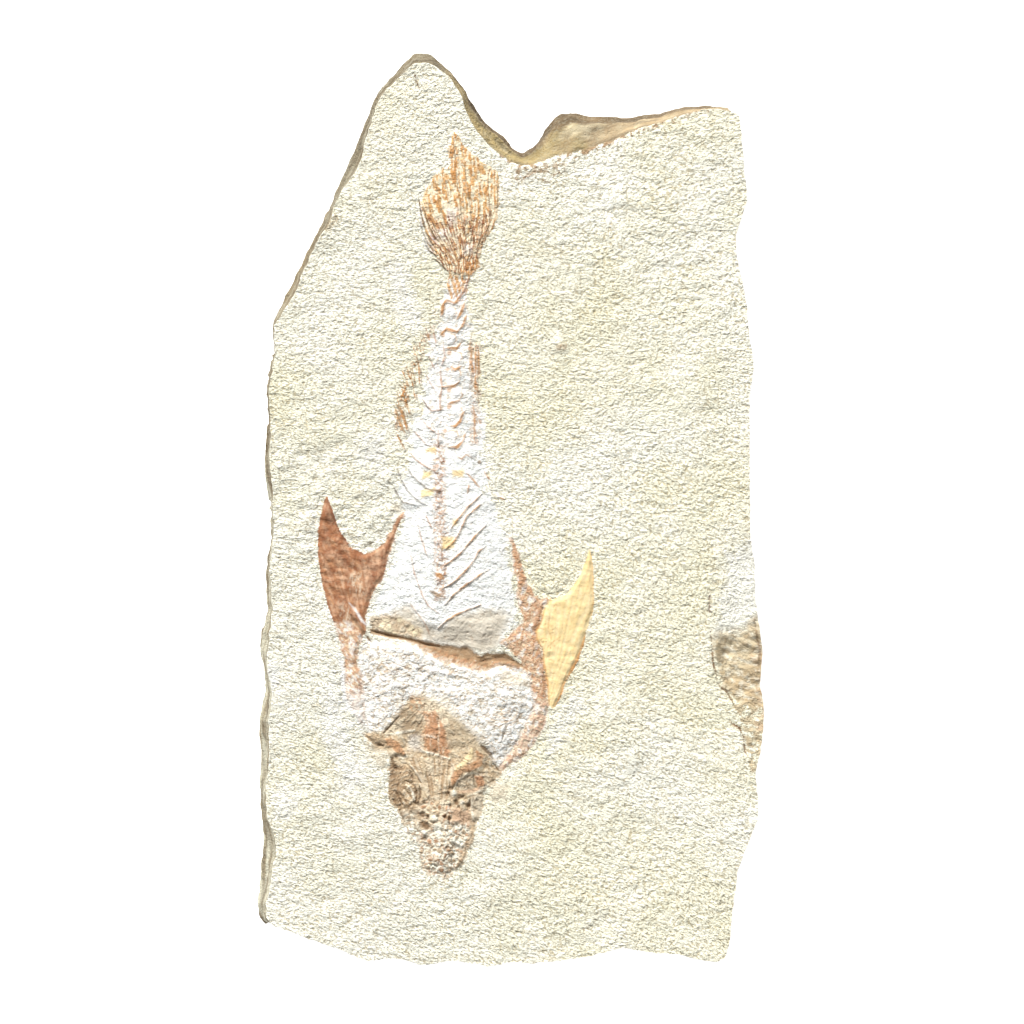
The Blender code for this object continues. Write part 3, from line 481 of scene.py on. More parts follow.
    def cells(self, outline, size, colours, border, seed=0.0, rise=0.25):
        """Paints rounded grains with pale borders. colours lists (share of the grains, colour)."""
        where = self.near(outline, 1.0)
        share = self.share_in(where, outline, 1.0, 1.0)
        places = self.points[where] / size
        nearest, keys = np.empty(len(places)), np.empty(len(places))
        for index, (x, y) in enumerate(places):
            gaps, centres = noise.voronoi(Vector((x, y, seed)))
            nearest[index] = gaps[1] - gaps[0]
            keys[index] = math.sin(centres[0].x * 91.7 + centres[0].y * 47.3) * 437.5 % 1.0
        middle = smooth_step((nearest + 0.12 * self.fine[where]) / 0.3)
        self.lay(where, border, 0.85 * share)
        reached = 0.0
        for amount, colour in colours:
            chosen = (keys >= reached) & (keys < reached + amount)
            self.lay(where, colour, 0.9 * share * middle * chosen)
            reached += amount
        self.height[where] += rise * share * (middle - 0.5) * (0.5 + keys)

    def stroke(self, line, width, colour, cover=0.85, rise=0.0, ends=(0.3, 0.3), soft=0.3):
        """Paints along a line that thins towards its ends."""
        where = self.near(line, width + 1.5)
        if not len(where):
            return
        gap, along = distance_along(self.points[where], line)
        taper = np.minimum(1.0, 0.3 + along / ends[0]) * np.minimum(1.0, 0.3 + (1.0 - along) / ends[1])
        half = 0.5 * width * taper * (1.0 + 0.35 * self.coarse[where])
        share = smooth_step(0.5 + (half - gap) / (2.0 * soft) + 0.25 * self.fine[where])
        share *= np.clip(0.85 + 0.5 * self.coarse[where], 0.3, 1.0)
        self.lay(where, colour, cover * share)
        self.height[where] += rise * smooth_step(1.15 - gap / np.maximum(half * 2.0, 0.3))

    def strokes(self, lines, width, colour, **settings):
        for line in lines:
            self.stroke(line, width, colour, **settings)

    def plate(self, outline, rise):
        """Lifts an area, with its edge rounded off."""
        where = self.near(outline, 0.5)
        inside = depth_inside(self.points[where], outline)
        self.height[where] += rise * smooth_step(inside / PLATE_EDGE) * (inside > 0)

    def lump(self, x, y, radius, rise, colour=None, cover=0.8):
        """Lifts a rounded knob, or sinks a pit."""
        where = self.near([(x, y)], radius * 1.6)
        gap = np.linalg.norm(self.points[where] - (x, y), axis=1) / radius
        gap *= 1.0 + 0.25 * self.coarse[where]
        share = smooth_step(1.35 - gap)
        self.height[where] += rise * share
        if colour:
            self.lay(where, colour, cover * share)


# --- The tail fin ---

TAIL_AREA = [
    (-19, 126), (-20.7, 120.5), (-19.8, 114.8), (-21.8, 114), (-25.4, 111.4), (-28, 107.2),
    (-29.4, 103.4), (-30, 100), (-28.6, 92.5), (-27.2, 87.6), (-24.5, 84), (-21, 80), (-20.5, 78.2),
    (-14, 78.2), (-11.5, 81), (-10.2, 86.5), (-8.5, 90), (-5.6, 94), (-4.2, 101), (-4.1, 109),
    (-5, 112.8), (-10, 116.3), (-14.6, 120), (-17.2, 124),
]
TAIL_LOWER = [
    (-27.6, 98), (-27.5, 88), (-24, 83), (-21, 79), (-13.5, 79), (-10.8, 84), (-8.4, 90.5),
    (-6, 95), (-6.5, 100), (-12, 97), (-18, 99), (-23, 97),
]
OUTER_RAYS = [
    [(-31, 105.5), (-30.5, 102), (-30, 99), (-28.5, 93), (-26.5, 89), (-24.5, 87.5)],
    [(-29.5, 102), (-28.5, 98), (-27, 94), (-25.5, 91), (-23, 88.5)],
    [(-30.4, 98), (-29.8, 94), (-28.5, 90.5), (-26.5, 87.3), (-25, 86.2)],
    [(-29.2, 90.5), (-27.5, 87), (-25.5, 85.3)],
    [(-27.8, 86.8), (-24.8, 84.7)],
    [(-27, 84.5), (-24.5, 83), (-22.5, 81), (-20.5, 79.2)],
]
INNER_RAYS = [
    [(-28.2, 104.5), (-26.8, 98), (-24.4, 92), (-21, 86), (-18.6, 81.5)],
    [(-27, 107), (-25.4, 99), (-22.8, 92), (-19.8, 86), (-18, 82)],
    [(-25.3, 110), (-24, 102), (-21.6, 94), (-19.2, 87), (-17.8, 82)],
    [(-23.6, 111.6), (-22.4, 104), (-20.6, 96), (-18.6, 88.5), (-17.4, 83)],
    [(-22.2, 112.6), (-21, 105), (-19.4, 97), (-18, 90), (-17, 84)],
    [(-20.4, 118), (-19.6, 108), (-18.2, 98), (-17, 91), (-16.4, 85)],
    [(-19.2, 124), (-18.4, 113), (-17, 102), (-16, 93), (-15.6, 86)],
    [(-18, 122), (-16.8, 112), (-15.4, 102), (-14.8, 94), (-15, 87)],
    [(-15.9, 119.4), (-15, 110), (-13.6, 101), (-13, 94), (-13.6, 87), (-15, 82)],
    [(-13.4, 117.6), (-13, 109), (-11.9, 101), (-11.5, 94), (-12.2, 88), (-14, 83)],
    [(-11.4, 116), (-11, 108), (-10.2, 101), (-9.9, 95), (-10.9, 89), (-13, 83.5)],
    [(-9.6, 114.8), (-9.3, 107), (-8.6, 100.5), (-8.6, 95.5), (-10, 90), (-12.2, 85)],
    [(-7.7, 113.4), (-7.6, 106), (-7, 100), (-7.2, 96), (-9, 91), (-11.6, 86)],
    [(-6, 112), (-6, 105), (-5.5, 99), (-6.2, 95), (-8.4, 91)],
    [(-4.6, 109.5), (-4.5, 103), (-5, 98.4)],
]
TAIL_WHITES = [
    [(-25.4, 93.4), (-21, 93.6), (-19.6, 91.4), (-22, 89.4), (-25, 90.6)],
    [(-21.6, 100.6), (-17.8, 101), (-18, 95.4), (-20.6, 94.8)],
    [(-15.4, 88.6), (-12.6, 88.4), (-12.4, 86), (-15.2, 85.6)],
]
TAIL_RUSTS = [
    [(-28, 98.6), (-24.8, 98.2), (-22.6, 90.6), (-24.6, 89.4)],
    [(-22.8, 98.4), (-17.6, 98.6), (-17.8, 95), (-22.4, 94.6)],
    [(-11.6, 98.8), (-8.8, 98.6), (-9.4, 93.4), (-12, 93)],
    [(-16.4, 85.5), (-10.6, 84.5), (-10.8, 80), (-14, 78), (-16.4, 79)],
    [(-20.6, 120), (-18, 121), (-16.6, 112), (-19, 108)],
]
TAIL_UPPER = [(x, y) for x, y in TAIL_AREA if y > 95.0]
TAIL_KNOTS = [(-15, 92), (-14, 93.6), (-11.5, 88), (-12.8, 90.4), (-10.4, 90)]


def paint_tail(face):
    face.wash(TAIL_AREA, STRAW, 0.6, 0.9, 1.3, rise=0.2, grain=0.7)
    face.mottle(TAIL_UPPER, ORANGE, 0.65, (1.6, 2.6), 0.5, seed=41.0)
    face.streaks(TAIL_AREA, INNER_RAYS, ORANGE, 0.8, 0.75, 5.0, seed=1.0, rise=0.1, amount=0.46)
    face.streaks(TAIL_AREA, INNER_RAYS, DEEP_ORANGE, 0.85, 0.5, 3.0, seed=2.0, rise=0.1, amount=0.38)
    face.streaks(TAIL_LOWER, INNER_RAYS, RED_BROWN, 0.9, 0.55, 4.0, seed=3.0, rise=0.12, amount=0.36)
    for outline in TAIL_RUSTS:
        face.wash(outline, DEEP_ORANGE, 0.7, 0.7, 0.8)
    for outline in TAIL_WHITES:
        face.wash(outline, BRIGHT, 0.6, 0.8, 1.3)
    face.streaks(TAIL_AREA, INNER_RAYS, TAIL_CREAM, 0.85, 0.5, 4.0, seed=4.0, rise=-0.06, amount=0.38)
    face.streaks(TAIL_LOWER, INNER_RAYS, DARK_RED, 0.9, 0.42, 2.2, seed=5.0, rise=0.1, amount=0.33)
    face.strokes(INNER_RAYS[::2], 0.42, BROWN, cover=0.75, rise=0.14, soft=0.16)
    face.strokes(INNER_RAYS[1::3], 0.45, TAIL_CREAM, cover=0.6, rise=-0.06, soft=0.16)
    face.strokes(OUTER_RAYS, 0.55, DEEP_BROWN, cover=0.85, rise=0.22, soft=0.16)
    face.strokes(moved(OUTER_RAYS[:4], -0.7, -0.4), 0.4, BRIGHT, cover=0.7)
    for x, y in TAIL_KNOTS:
        face.lump(x, y, 1.0, 0.15, DEEP_BROWN, 0.45)


# --- The trunk, with the vertebral column, spines and ribs ---

TRUNK_AREA = [
    (-20.8, 78.4), (-22.6, 73), (-23.9, 68), (-25, 63), (-27.3, 59.5), (-28, 50), (-29.4, 42),
    (-31, 35), (-33, 27), (-34, 20), (-36, 12), (-38, 6), (-35.4, -0.2), (-37, -4.6),
    (-38.9, -9.5), (-40.8, -16), (-42.2, -22), (-44.4, -25.4), (-46, -29.5), (-47.6, -34),
    (-47.2, -40), (-42, -41), (-35, -42.3), (-29, -44), (-23, -45), (-17, -46), (-14.5, -45.4),
    (-12.5, -47.5), (-10, -48.8), (-7.8, -47.8), (-4.6, -46.4), (-2.8, -43.4), (1.4, -40.4),
    (3.2, -38), (2.6, -32), (2, -25), (1, -20), (0.2, -13), (-1.6, -7), (-4.4, -1.5),
    (-5.4, 4.2), (-7, 9), (-8.4, 18), (-10, 25), (-10.6, 36), (-11.6, 48), (-12.4, 56),
    (-13.6, 62), (-14.6, 67), (-14.4, 72), (-13.4, 78.4),
]
CRACK_UPPER = [
    (-47, -39.6), (-42, -41), (-38, -41.8), (-35, -42.3), (-32, -43), (-29, -44), (-26, -44.3),
    (-23, -45), (-20, -45.2), (-17, -46), (-14.5, -45.5), (-12.5, -47.5), (-10, -48.8),
    (-8, -47.8), (-5, -48), (-2, -47.8), (0, -49), (2, -50.5), (4, -52),
]
CRACK_LOWER = [
    (-47, -41), (-42, -42.4), (-36, -43.4), (-29, -45.2), (-26, -46.8), (-23, -48.5),
    (-20, -49.3), (-17, -49.8), (-14, -51), (-12, -50.2), (-10, -52), (-7.5, -52.5),
    (-6, -50.7), (-3, -50.2), (0, -51.2), (3, -52.3), (5, -53),
]
CRACK_LIP = [
    (-33, -43.6), (-26, -45.6), (-20, -48), (-13, -49.6), (-8, -50.6), (-2, -49.6), (3, -52),
    (2.4, -53.4), (-2, -51.8), (-6.6, -53), (-9.4, -54), (-13, -53), (-18, -51.6), (-24, -50),
    (-29, -46.8),
]
BELLY_CENTRE = (-20.0, -16.0)
BELLY_RADII = (24.0, 60.0)
BELLY_HEIGHT = 1.7
LOWER_SHADE = [
    (-40, -34), (-34, -32), (-28, -38), (-24, -40), (-20, -36), (-10, -33), (0, -34), (-2, -40),
    (-5, -46), (-10, -47.5), (-20, -45), (-30, -43.4), (-40, -41.4),
]
ARCHES = [
    [(-23, 68), (-21.5, 70), (-19, 69), (-17, 70)],
    [(-22.5, 69), (-23, 65)],
    [(-15.5, 69), (-16.5, 66), (-18, 63.5)],
    [(-23.5, 58.5), (-21.5, 60.3), (-18, 59.5), (-16, 61.5), (-14.8, 65)],
    [(-22, 54), (-18, 54), (-16.8, 55.5)],
    [(-20, 47.8), (-18.7, 46.8), (-16.5, 48)],
    [(-23, 41), (-19, 41.3), (-17, 43)],
    [(-21, 35.5), (-17, 36.5)],
    [(-20, 28), (-18.5, 28), (-17, 29.5), (-15.5, 33)],
    [(-21, 21), (-18, 21), (-16, 23), (-15.2, 25.5)],
]
CENTRA = [(-20, 66), (-20, 57), (-18, 51), (-18.5, 45.5), (-18, 38.5), (-18, 33), (-19.4, 25)]
CENTRUM_RING = [(-1.8, 0.6), (-0.6, 1.7), (1.3, 1.3), (1.9, -0.4), (0.6, -1.7)]
PEDUNCLE = [
    [(-20.5, 79), (-19, 75), (-18, 71)],
    [(-18.8, 78.5), (-17.4, 75), (-17, 71.5)],
    [(-21.4, 76), (-20.2, 72.6), (-19.6, 70.4)],
    [(-16.6, 78.5), (-15.9, 75.5), (-16.2, 72.5)],
]
COLUMN_LINE = [
    (-22.5, 55), (-22, 51), (-23.5, 47.5), (-23.4, 44), (-23, 41), (-23.7, 37), (-23.5, 33),
    (-24.2, 27), (-24.3, 22), (-24, 20), (-23.9, 10), (-23.8, 0), (-23.6, -9), (-23.4, -18),
]
SPINES = [
    [(-25.8, 60), (-25, 55)],
    [(-27.5, 51.5), (-25.5, 47)],
    [(-28.5, 45.5), (-27, 42.5), (-25.3, 40)],
    [(-29.8, 30.5), (-27.5, 27.5), (-24.8, 25.5)],
    [(-32.5, 26.5), (-28.5, 22), (-27, 21.5)],
    [(-34, 19.5), (-32, 17), (-29.5, 15.2), (-27, 13.7), (-25, 13)],
    [(-28.5, -1.5), (-26.5, -6)],
    [(-31, -5), (-30.3, -8), (-28.5, -14), (-27.5, -16)],
    [
        (-33.5, -15), (-32.8, -18), (-32.2, -21), (-31, -24.5), (-29.5, -28.5), (-27.5, -32),
        (-24, -34.5),
    ],
    [(-33.5, -31.5), (-31.5, -34), (-29.5, -36.5), (-28, -39), (-27, -42)],
]
STRONG_SPINES = [
    [(-29.5, 37), (-28, 34.5), (-26.5, 33), (-22.5, 33.5)],
    [(-35, 15), (-33, 11.5), (-30, 8.7), (-27.5, 7), (-23, 6.5)],
    [(-38, 14), (-36.5, 10), (-34.5, 6.5), (-32, 4), (-30.5, 2.8), (-27, 1.2)],
    [(-41, 10), (-39.5, 8.5), (-37.5, 4.5), (-36, 2.5), (-32, 1.8)],
]
FIN_REMAINS = [
    [(-30.8, 48), (-30.5, 42)],
    [(-33.5, 44.5), (-32.5, 41), (-32, 36.5)],
    [(-35, 41), (-36.8, 37)],
    [(-35.8, 38), (-34.5, 34.5), (-33.5, 30.5)],
    [(-36.8, 34), (-34.5, 26)],
    [(-38.5, 32), (-35.5, 25.5)],
    [(-38, 25), (-35.5, 20)],
    [(-11.8, 54), (-11.8, 45)],
    [(-11, 52), (-10.5, 46)],
    [(-13.5, 50), (-12.5, 45)],
    [(-11.8, 45), (-12, 40)],
    [(-12.8, 35), (-12, 31), (-12.3, 27), (-12, 22)],
    [(-18, 18), (-16.5, 17), (-15, 18.5), (-13, 17.5)],
    [(-15, 12.5), (-13, 10.5), (-10.5, 7.5)],
    [(-14, 8.5), (-14.5, 5.5)],
    [(-6, 5), (-2, 3.5)],
    [(-9, 13), (-7, 10)],
]
RIBS = [
    [(-9.8, 5.5), (-12, 3.2), (-14.5, 1), (-16.5, -1.5), (-18.5, -4), (-20, -6)],
    [(-10, 2.3), (-12, 0.3), (-13.5, -1)],
    [(-13.5, -1), (-14.8, -2), (-16, -5), (-18, -9), (-19.5, -11), (-22, -13)],
    [(-8.5, -5.2), (-11, -7.5), (-14, -11), (-17, -14.5), (-20, -17), (-22.5, -18.7)],
    [(-8.5, -12), (-11, -14), (-12.5, -17), (-15, -20), (-18, -23), (-20.5, -25), (-23, -26)],
    [(-7.5, -19.8), (-10, -21.3), (-13, -23.5), (-16.5, -26), (-19, -28), (-22, -31.5)],
    [(-10, -31.5), (-14, -33), (-18, -34.7), (-21.5, -36.8), (-24.5, -39.5)],
]
YELLOW_PATCHES = [
    [(-19.5, 11), (-19.5, 13.5), (-16, 13.5), (-16, 11)],
    [(-30, 4), (-30, 6.5), (-26, 7), (-26, 4.5)],
    [(-29.5, 10.5), (-29, 13), (-26.5, 13), (-26.5, 11)],
    [(-28.5, 19.3), (-28.5, 20.7), (-25, 20.7), (-25, 19.3)],
    [(-23, -9), (-19, -9), (-19, -13), (-23, -13)],
    [(-19.5, -3.2), (-18, -3.2), (-18, -5.2), (-19.5, -5.2)],
]
WHITE_CORE = [
    (-20.4, 76), (-22.4, 70), (-23, 62), (-26.4, 56), (-25.6, 50), (-29, 42), (-28.6, 34),
    (-33, 27), (-32, 18), (-36.6, 8), (-34, -4), (-37.4, -14), (-41, -24), (-44, -31),
    (-44, -39), (-34, -42), (-24, -44), (-14, -45), (-4, -44), (0.6, -36), (-0.4, -22), (-3, -10),
    (-6, 0), (-10, 6), (-8, 13), (-11.4, 19), (-8.4, 26), (-10, 33), (-14, 40), (-11.6, 48),
    (-15.4, 55), (-13.4, 61), (-16, 68), (-15, 76),
]
BELLY = [(x, y) for x, y in WHITE_CORE if y < 12.0]
TAIL_END_BONES = [(-25.6, 70), (-14.6, 70), (-12.4, 50), (-11.6, 22), (-28.4, 20), (-27, 44)]
PEDUNCLE_AREA = [(-21.5, 79), (-13.6, 79), (-15, 70), (-21, 69.5)]
LEFT_LUMPS = [
    (-46.6, -35.6), (-41, -34.6), (-34, -37), (-30, -40), (-30, -43), (-38, -41.4), (-46.6, -40),
]
LEFT_FRINGE = [
    (-27, 62), (-30.6, 57), (-34, 50), (-37, 43), (-39, 34), (-38.4, 25), (-35.4, 26), (-34.4, 36),
    (-31.4, 46), (-28, 54), (-25, 60),
]
RIGHT_FRINGE = [(-14.4, 56), (-9.8, 55), (-10, 40), (-10.6, 22), (-13.4, 22), (-13, 40)]
COLUMN_AREA = [(-25.8, 22), (-22, 22), (-21.6, 0), (-21, -18), (-22, -30), (-25.4, -30), (-26, 0)]
COLUMN_PITCH = 1.7
COLUMN_TOP = 23.0
COLUMN_COUNT = 31
FRINGE_PATHS = [  # line, how far its rays lean, the step between them
    ([(-27.6, 60), (-31.4, 53), (-34.4, 46), (-36.8, 39), (-38, 32), (-37.4, 25)], 2.0, 1.3),
    ([(-29.4, 53), (-31.8, 46), (-34.4, 38), (-35.6, 30)], 1.6, 1.3),
    ([(-13.8, 57), (-13.2, 50), (-13.6, 42)], -0.4, 1.8),
    ([(-11, 57), (-10.8, 48), (-11.6, 38)], -0.2, 2.4),
]


def paint_column(face):
    """The crowded small vertebrae down the middle of the body."""
    stir = np.random.default_rng(7)
    face.mottle(COLUMN_AREA, PINK_BROWN, 0.7, (0.9, 0.9), 0.46, seed=55.0)
    face.crazing(COLUMN_AREA, PURPLE_BROWN, 0.8, (1.1, 1.0), 0.2, seed=56.0)
    for index in range(COLUMN_COUNT):
        side, lift, half, depth = stir.uniform((-0.9, -0.5, 0.6, 0.35), (0.9, 0.5, 1.3, 0.9))
        level = COLUMN_TOP - COLUMN_PITCH * index
        x, y = float(place_across(COLUMN_LINE, level)) + side, level + lift
        face.lump(x, y, half, 0.18)
        bow = [(x - half, y + 0.3), (x - 0.3 * half, y - 0.6), (x + half, y - 0.2)]
        face.stroke(bow, 0.5, PURPLE_BROWN, cover=depth, soft=0.15)
        if index % 3:
            hook = [(x + half, y + 0.9), (x + 0.5 * half, y + 0.2), (x + half, y - 0.6)]
            face.stroke(hook, 0.35, DEEP_RED, cover=depth)


def paint_fringes(face):
    """The short rays of the fins along both sides of the tail end."""
    stir = np.random.default_rng(11)
    for path, lean, step in FRINGE_PATHS:
        for y in np.arange(path[-1][1], path[0][1], step):
            x = float(place_across(path, y)) + stir.uniform(-0.7, 0.7)
            reach, depth = stir.uniform((1.4, 0.2), (3.0, 0.7))
            colour = (DEEP_ORANGE, BROWN, LIGHT_BROWN)[int(stir.integers(3))]
            ray = [(x - 0.5 * lean, y + reach), (x, y), (x + 0.4 * lean, y - reach)]
            face.stroke(ray, 0.42, colour, cover=depth, rise=0.1, soft=0.16)


def paint_trunk(face):
    where = face.near(TRUNK_AREA, 2.0)
    reach = (face.points[where] - BELLY_CENTRE) / BELLY_RADII
    belly = BELLY_HEIGHT * smooth_step(1.15 - np.linalg.norm(reach, axis=1))
    inside = smooth_step(depth_inside(face.points[where], TRUNK_AREA) / 7.0)
    to_crack = smooth_step(distance_along(face.points[where], CRACK_UPPER)[0] / 9.0)
    face.height[where] += (0.15 + belly * (0.25 + 0.75 * to_crack)) * inside
    face.wash(TRUNK_AREA, WHITE, 0.36, 4.4, 4.6)
    face.wash(WHITE_CORE, WHITE, 0.55, 4.0, 4.6, grain=0.6)
    face.mottle(WHITE_CORE, WHITE, 0.6, (4.0, 5.0), 0.6, seed=54.0)
    face.mottle(TAIL_END_BONES, LIGHT_BROWN, 0.6, (1.3, 0.9), 0.28, seed=73.0)
    face.crazing(TAIL_END_BONES, BROWN, 0.5, (2.0, 1.5), 0.1, seed=74.0)
    face.wash(BELLY, WHITE, 0.75, 2.4, 2.4, grain=0.65)
    face.mottle(WHITE_CORE, BRIGHT, 0.6, (2.4, 1.6), 0.45, seed=1.0)
    face.mottle(WHITE_CORE, STONE_BLUE, 0.55, (1.5, 1.0), 0.22, seed=51.0, rise=-0.06)
    face.crazing(WHITE_CORE, GREY_BROWN, 0.45, (1.5, 1.0), 0.12, seed=52.0)
    face.wash(LOWER_SHADE, TAN, 0.75, 2.2, 1.4, grain=0.3)
    face.strokes(PEDUNCLE, 0.9, ORANGE, cover=0.85, rise=0.15, soft=0.2)
    face.stroke([(-14, 77.5), (-15.5, 73), (-18, 70)], 0.8, DEEP_RED, rise=0.2, soft=0.2)
    for x, y in CENTRA:
        face.lump(x, y, 2.3, 0.45, BRIGHT, 0.8)
    face.strokes(moved(ARCHES, -0.5, -0.7), 0.6, BROWN, cover=0.6, soft=0.25)
    face.strokes(ARCHES, 0.9, DEEP_ORANGE, cover=0.85, rise=0.25, soft=0.2)
    for x, y in CENTRA:
        face.strokes(moved([CENTRUM_RING], x, y), 0.45, ORANGE, cover=0.6, soft=0.2)
        face.lump(x - 2.6, y + 1.4, 0.8, 0.12, DEEP_ORANGE, 0.6)
    for start in (0, 2, 4, 7):
        face.stroke(COLUMN_LINE[start:start + 3], 0.7, RED_BROWN, cover=0.65, rise=0.15, soft=0.2)
    paint_column(face)
    for fringe, seed in ((LEFT_FRINGE, 56.0), (RIGHT_FRINGE, 57.0)):
        face.mottle(fringe, LIGHT_BROWN, 0.4, (2.0, 3.0), 0.4, seed=seed + 4.0)
        face.mottle(fringe, ORANGE_BROWN, 0.6, (0.5, 2.0), 0.3, seed=seed, rise=0.06, turn=14)
        face.mottle(fringe, BROWN, 0.5, (0.45, 1.6), 0.22, seed=seed + 2.0, turn=20)
    face.mottle(PEDUNCLE_AREA, DEEP_ORANGE, 0.75, (0.55, 2.4), 0.4, seed=59.0, rise=0.08, turn=-24)
    for outline in YELLOW_PATCHES:
        face.wash(outline, YELLOW_DEEP, 0.8, 0.7, 0.7)
    paint_fringes(face)
    face.strokes(FIN_REMAINS, 0.6, DEEP_ORANGE, cover=0.75, rise=0.12, soft=0.2)
    face.strokes(moved(FIN_REMAINS[:8], 0.8, -0.7), 0.4, BROWN, cover=0.7, soft=0.2)
    face.strokes(SPINES, 0.45, RED_BROWN, cover=0.7, rise=0.2, soft=0.18)
    face.strokes(STRONG_SPINES, 0.55, DEEP_BROWN, cover=0.6, rise=0.25, soft=0.18)
    face.strokes(STRONG_SPINES[:1], 0.35, DEEP_RED, cover=0.7, soft=0.18)
    # Painted shadow: a grey-brown copy of the ribs, set off below and to the right.
    face.strokes(moved(RIBS, 0.4, -0.5), 0.45, GREY_BROWN, cover=0.6, soft=0.2)
    face.strokes(RIBS, 0.6, DEEP_ORANGE, cover=0.85, rise=0.3, soft=0.18)
    face.lump(-10.5, 16, 0.8, 0.15, BROWN, 0.7)
    face.stroke([(-25, -21), (-22.5, -23)], 1.4, DEEP_ORANGE, rise=0.2)
    face.stroke([(-27, -27), (-24, -28.5), (-22, -29)], 1.2, BROWN, rise=0.15)
    face.cells(LEFT_LUMPS, 2.3, [(0.5, STRAW), (0.5, TAN)], LIGHT_BROWN, seed=6.0, rise=0.2)
    face.crazing(LEFT_LUMPS, DARK_BROWN, 0.5, (2.0, 1.4), 0.12, seed=58.0)
    face.crazing(LOWER_SHADE, BROWN, 0.4, (2.2, 1.4), 0.1, seed=53.0)


def paint_crack(face):
    """The open crack between the trunk and the shoulder, dark and deep at its middle, with painted shadow
    along its upper edge.
    """
    crack = CRACK_UPPER + CRACK_LOWER[::-1]
    where = face.near(crack, 3.0)
    depth = depth_inside(face.points[where], crack)
    face.height[where] -= 0.75 * smooth_step((depth + 0.8) / 2.0)
    face.wash(CRACK_LIP, BROWN, 0.7, 0.7, 1.0, grain=0.5)
    face.wash(crack, BROWN, 0.95, 0.5, 0.6, grain=0.4)
    face.mottle(crack + CRACK_LIP, LIGHT_BROWN, 0.6, (2.6, 1.2), 0.32, seed=5.0)
    face.mottle(CRACK_LIP, RED_BROWN, 0.6, (2.4, 1.0), 0.4, seed=7.0)
    face.mottle(CRACK_LIP, DARK_BROWN, 0.7, (1.8, 0.8), 0.36, seed=6.0)
    # Painted shadow: dark lines along the crack's upper edge, where the trunk's wall faces away from the
    # light.
    line = [(-46, -40.4), (-40, -42), (-34, -43.2), (-29, -44.6), (-24, -45.6)]
    face.stroke(line, 0.8, DARK_BROWN, cover=0.9, rise=-0.25, soft=0.2)
    face.stroke([(-10, -50.6), (-6, -49.6), (1, -50.3)], 0.9, DARK_BROWN, cover=0.75, rise=-0.25)


# --- The shoulder shield ---

SHOULDER_OUTER = [
    (-47.5, -74.2), (-48.6, -67), (-49.4, -60), (-49.8, -55), (-51, -52), (-50.8, -48.6),
    (-49.4, -45.2), (-46.8, -43.2), (-42, -43.4), (-35, -44), (-29, -45.6), (-23, -48.8),
    (-17, -50.1), (-12.6, -51), (-10, -52.6), (-7.4, -53), (-5.6, -51.4), (0, -51.6),
    (4.4, -53.4), (7, -57), (7.4, -61), (8, -64), (7.2, -67.4), (5, -70.6), (3.8, -74),
    (1.6, -78), (-1, -81.6), (-3.6, -85.6),
]
SKULL_BACK = [
    (-6, -84), (-8, -80.5), (-10.5, -78.5), (-17, -71), (-22, -66.5), (-26, -64), (-30, -62),
    (-34, -62.5), (-37, -68), (-42, -73.5),
]
SKULL_OUTER = [
    (-4, -88), (-5, -90), (-8, -92), (-9, -95), (-9.5, -99), (-11, -102), (-12, -105.5),
    (-13, -110), (-14.5, -114), (-16, -118), (-19, -120), (-21, -121.5), (-22.5, -123.5),
    (-24, -121.5), (-27, -121), (-29.5, -119.5), (-30, -116), (-30.3, -112), (-31, -108),
    (-33, -104), (-35.5, -104), (-37.5, -101), (-39.5, -98), (-40, -93), (-39.8, -88),
    (-40, -83), (-42, -79), (-46, -78.5), (-48, -75),
]
SHOULDER_AREA = SHOULDER_OUTER + SKULL_BACK
SKULL_AREA = SKULL_BACK[::-1] + SKULL_OUTER
HEAD_AREA = SHOULDER_OUTER + SKULL_OUTER
HEAD_SIDES = SHOULDER_OUTER[18:] + SKULL_OUTER + SHOULDER_OUTER[:7]
HEAD_HEIGHT = 1.9
HEAD_FLANK = 13.0  # how far in from its sides the head reaches its full height
CRACK_FLANK = 3.0  # and from the crack
WRINKLES = [
    [(-44, -55), (-37, -52.5), (-30, -53), (-22, -54.2), (-14, -56)],
    [(-45, -62), (-39, -58.5), (-33, -58.4)],
    [(-27, -59.5), (-20, -61), (-13, -66), (-8, -72.5)],
    [(-8, -58), (-3, -62), (-2, -70), (-3.6, -77)],
    [(2.6, -58), (3.2, -65), (0.6, -72)],
    [(-43, -70), (-40, -66)],
]
SHOULDER_LEFT = [(-50, -44), (-30, -47), (-26, -60), (-36, -66), (-40, -74), (-50, -74)]
SHOULDER_RIGHT = [(-4, -53), (6, -56), (6, -59.5), (-4, -57)]
ARC_CENTRE = (-3.0, -65.0)
ARC_RADII = (3.0, 4.4, 5.8, 7.2)
DIAMOND = [(-44.8, -53), (-43, -51.2), (-41.2, -53), (-43, -54.8), (-44.8, -53)]


def raise_head(face):
    """The low dome of the shoulder and skull, crumpled all over."""
    where = face.near(HEAD_AREA, 1.0)
    inside = np.maximum(depth_inside(face.points[where], HEAD_AREA), 0.0)
    behind = distance_along(face.points[where], SHOULDER_OUTER[7:19])[0]
    beside = distance_along(face.points[where], HEAD_SIDES)[0]
    dome = smooth_step(behind / CRACK_FLANK) * smooth_step(0.12 + beside / HEAD_FLANK)
    rough = 0.14 * face.coarse[where] + 0.22 * face.broad[where]
    face.height[where] += (HEAD_HEIGHT * dome + rough) * smooth_step(inside / 0.8)


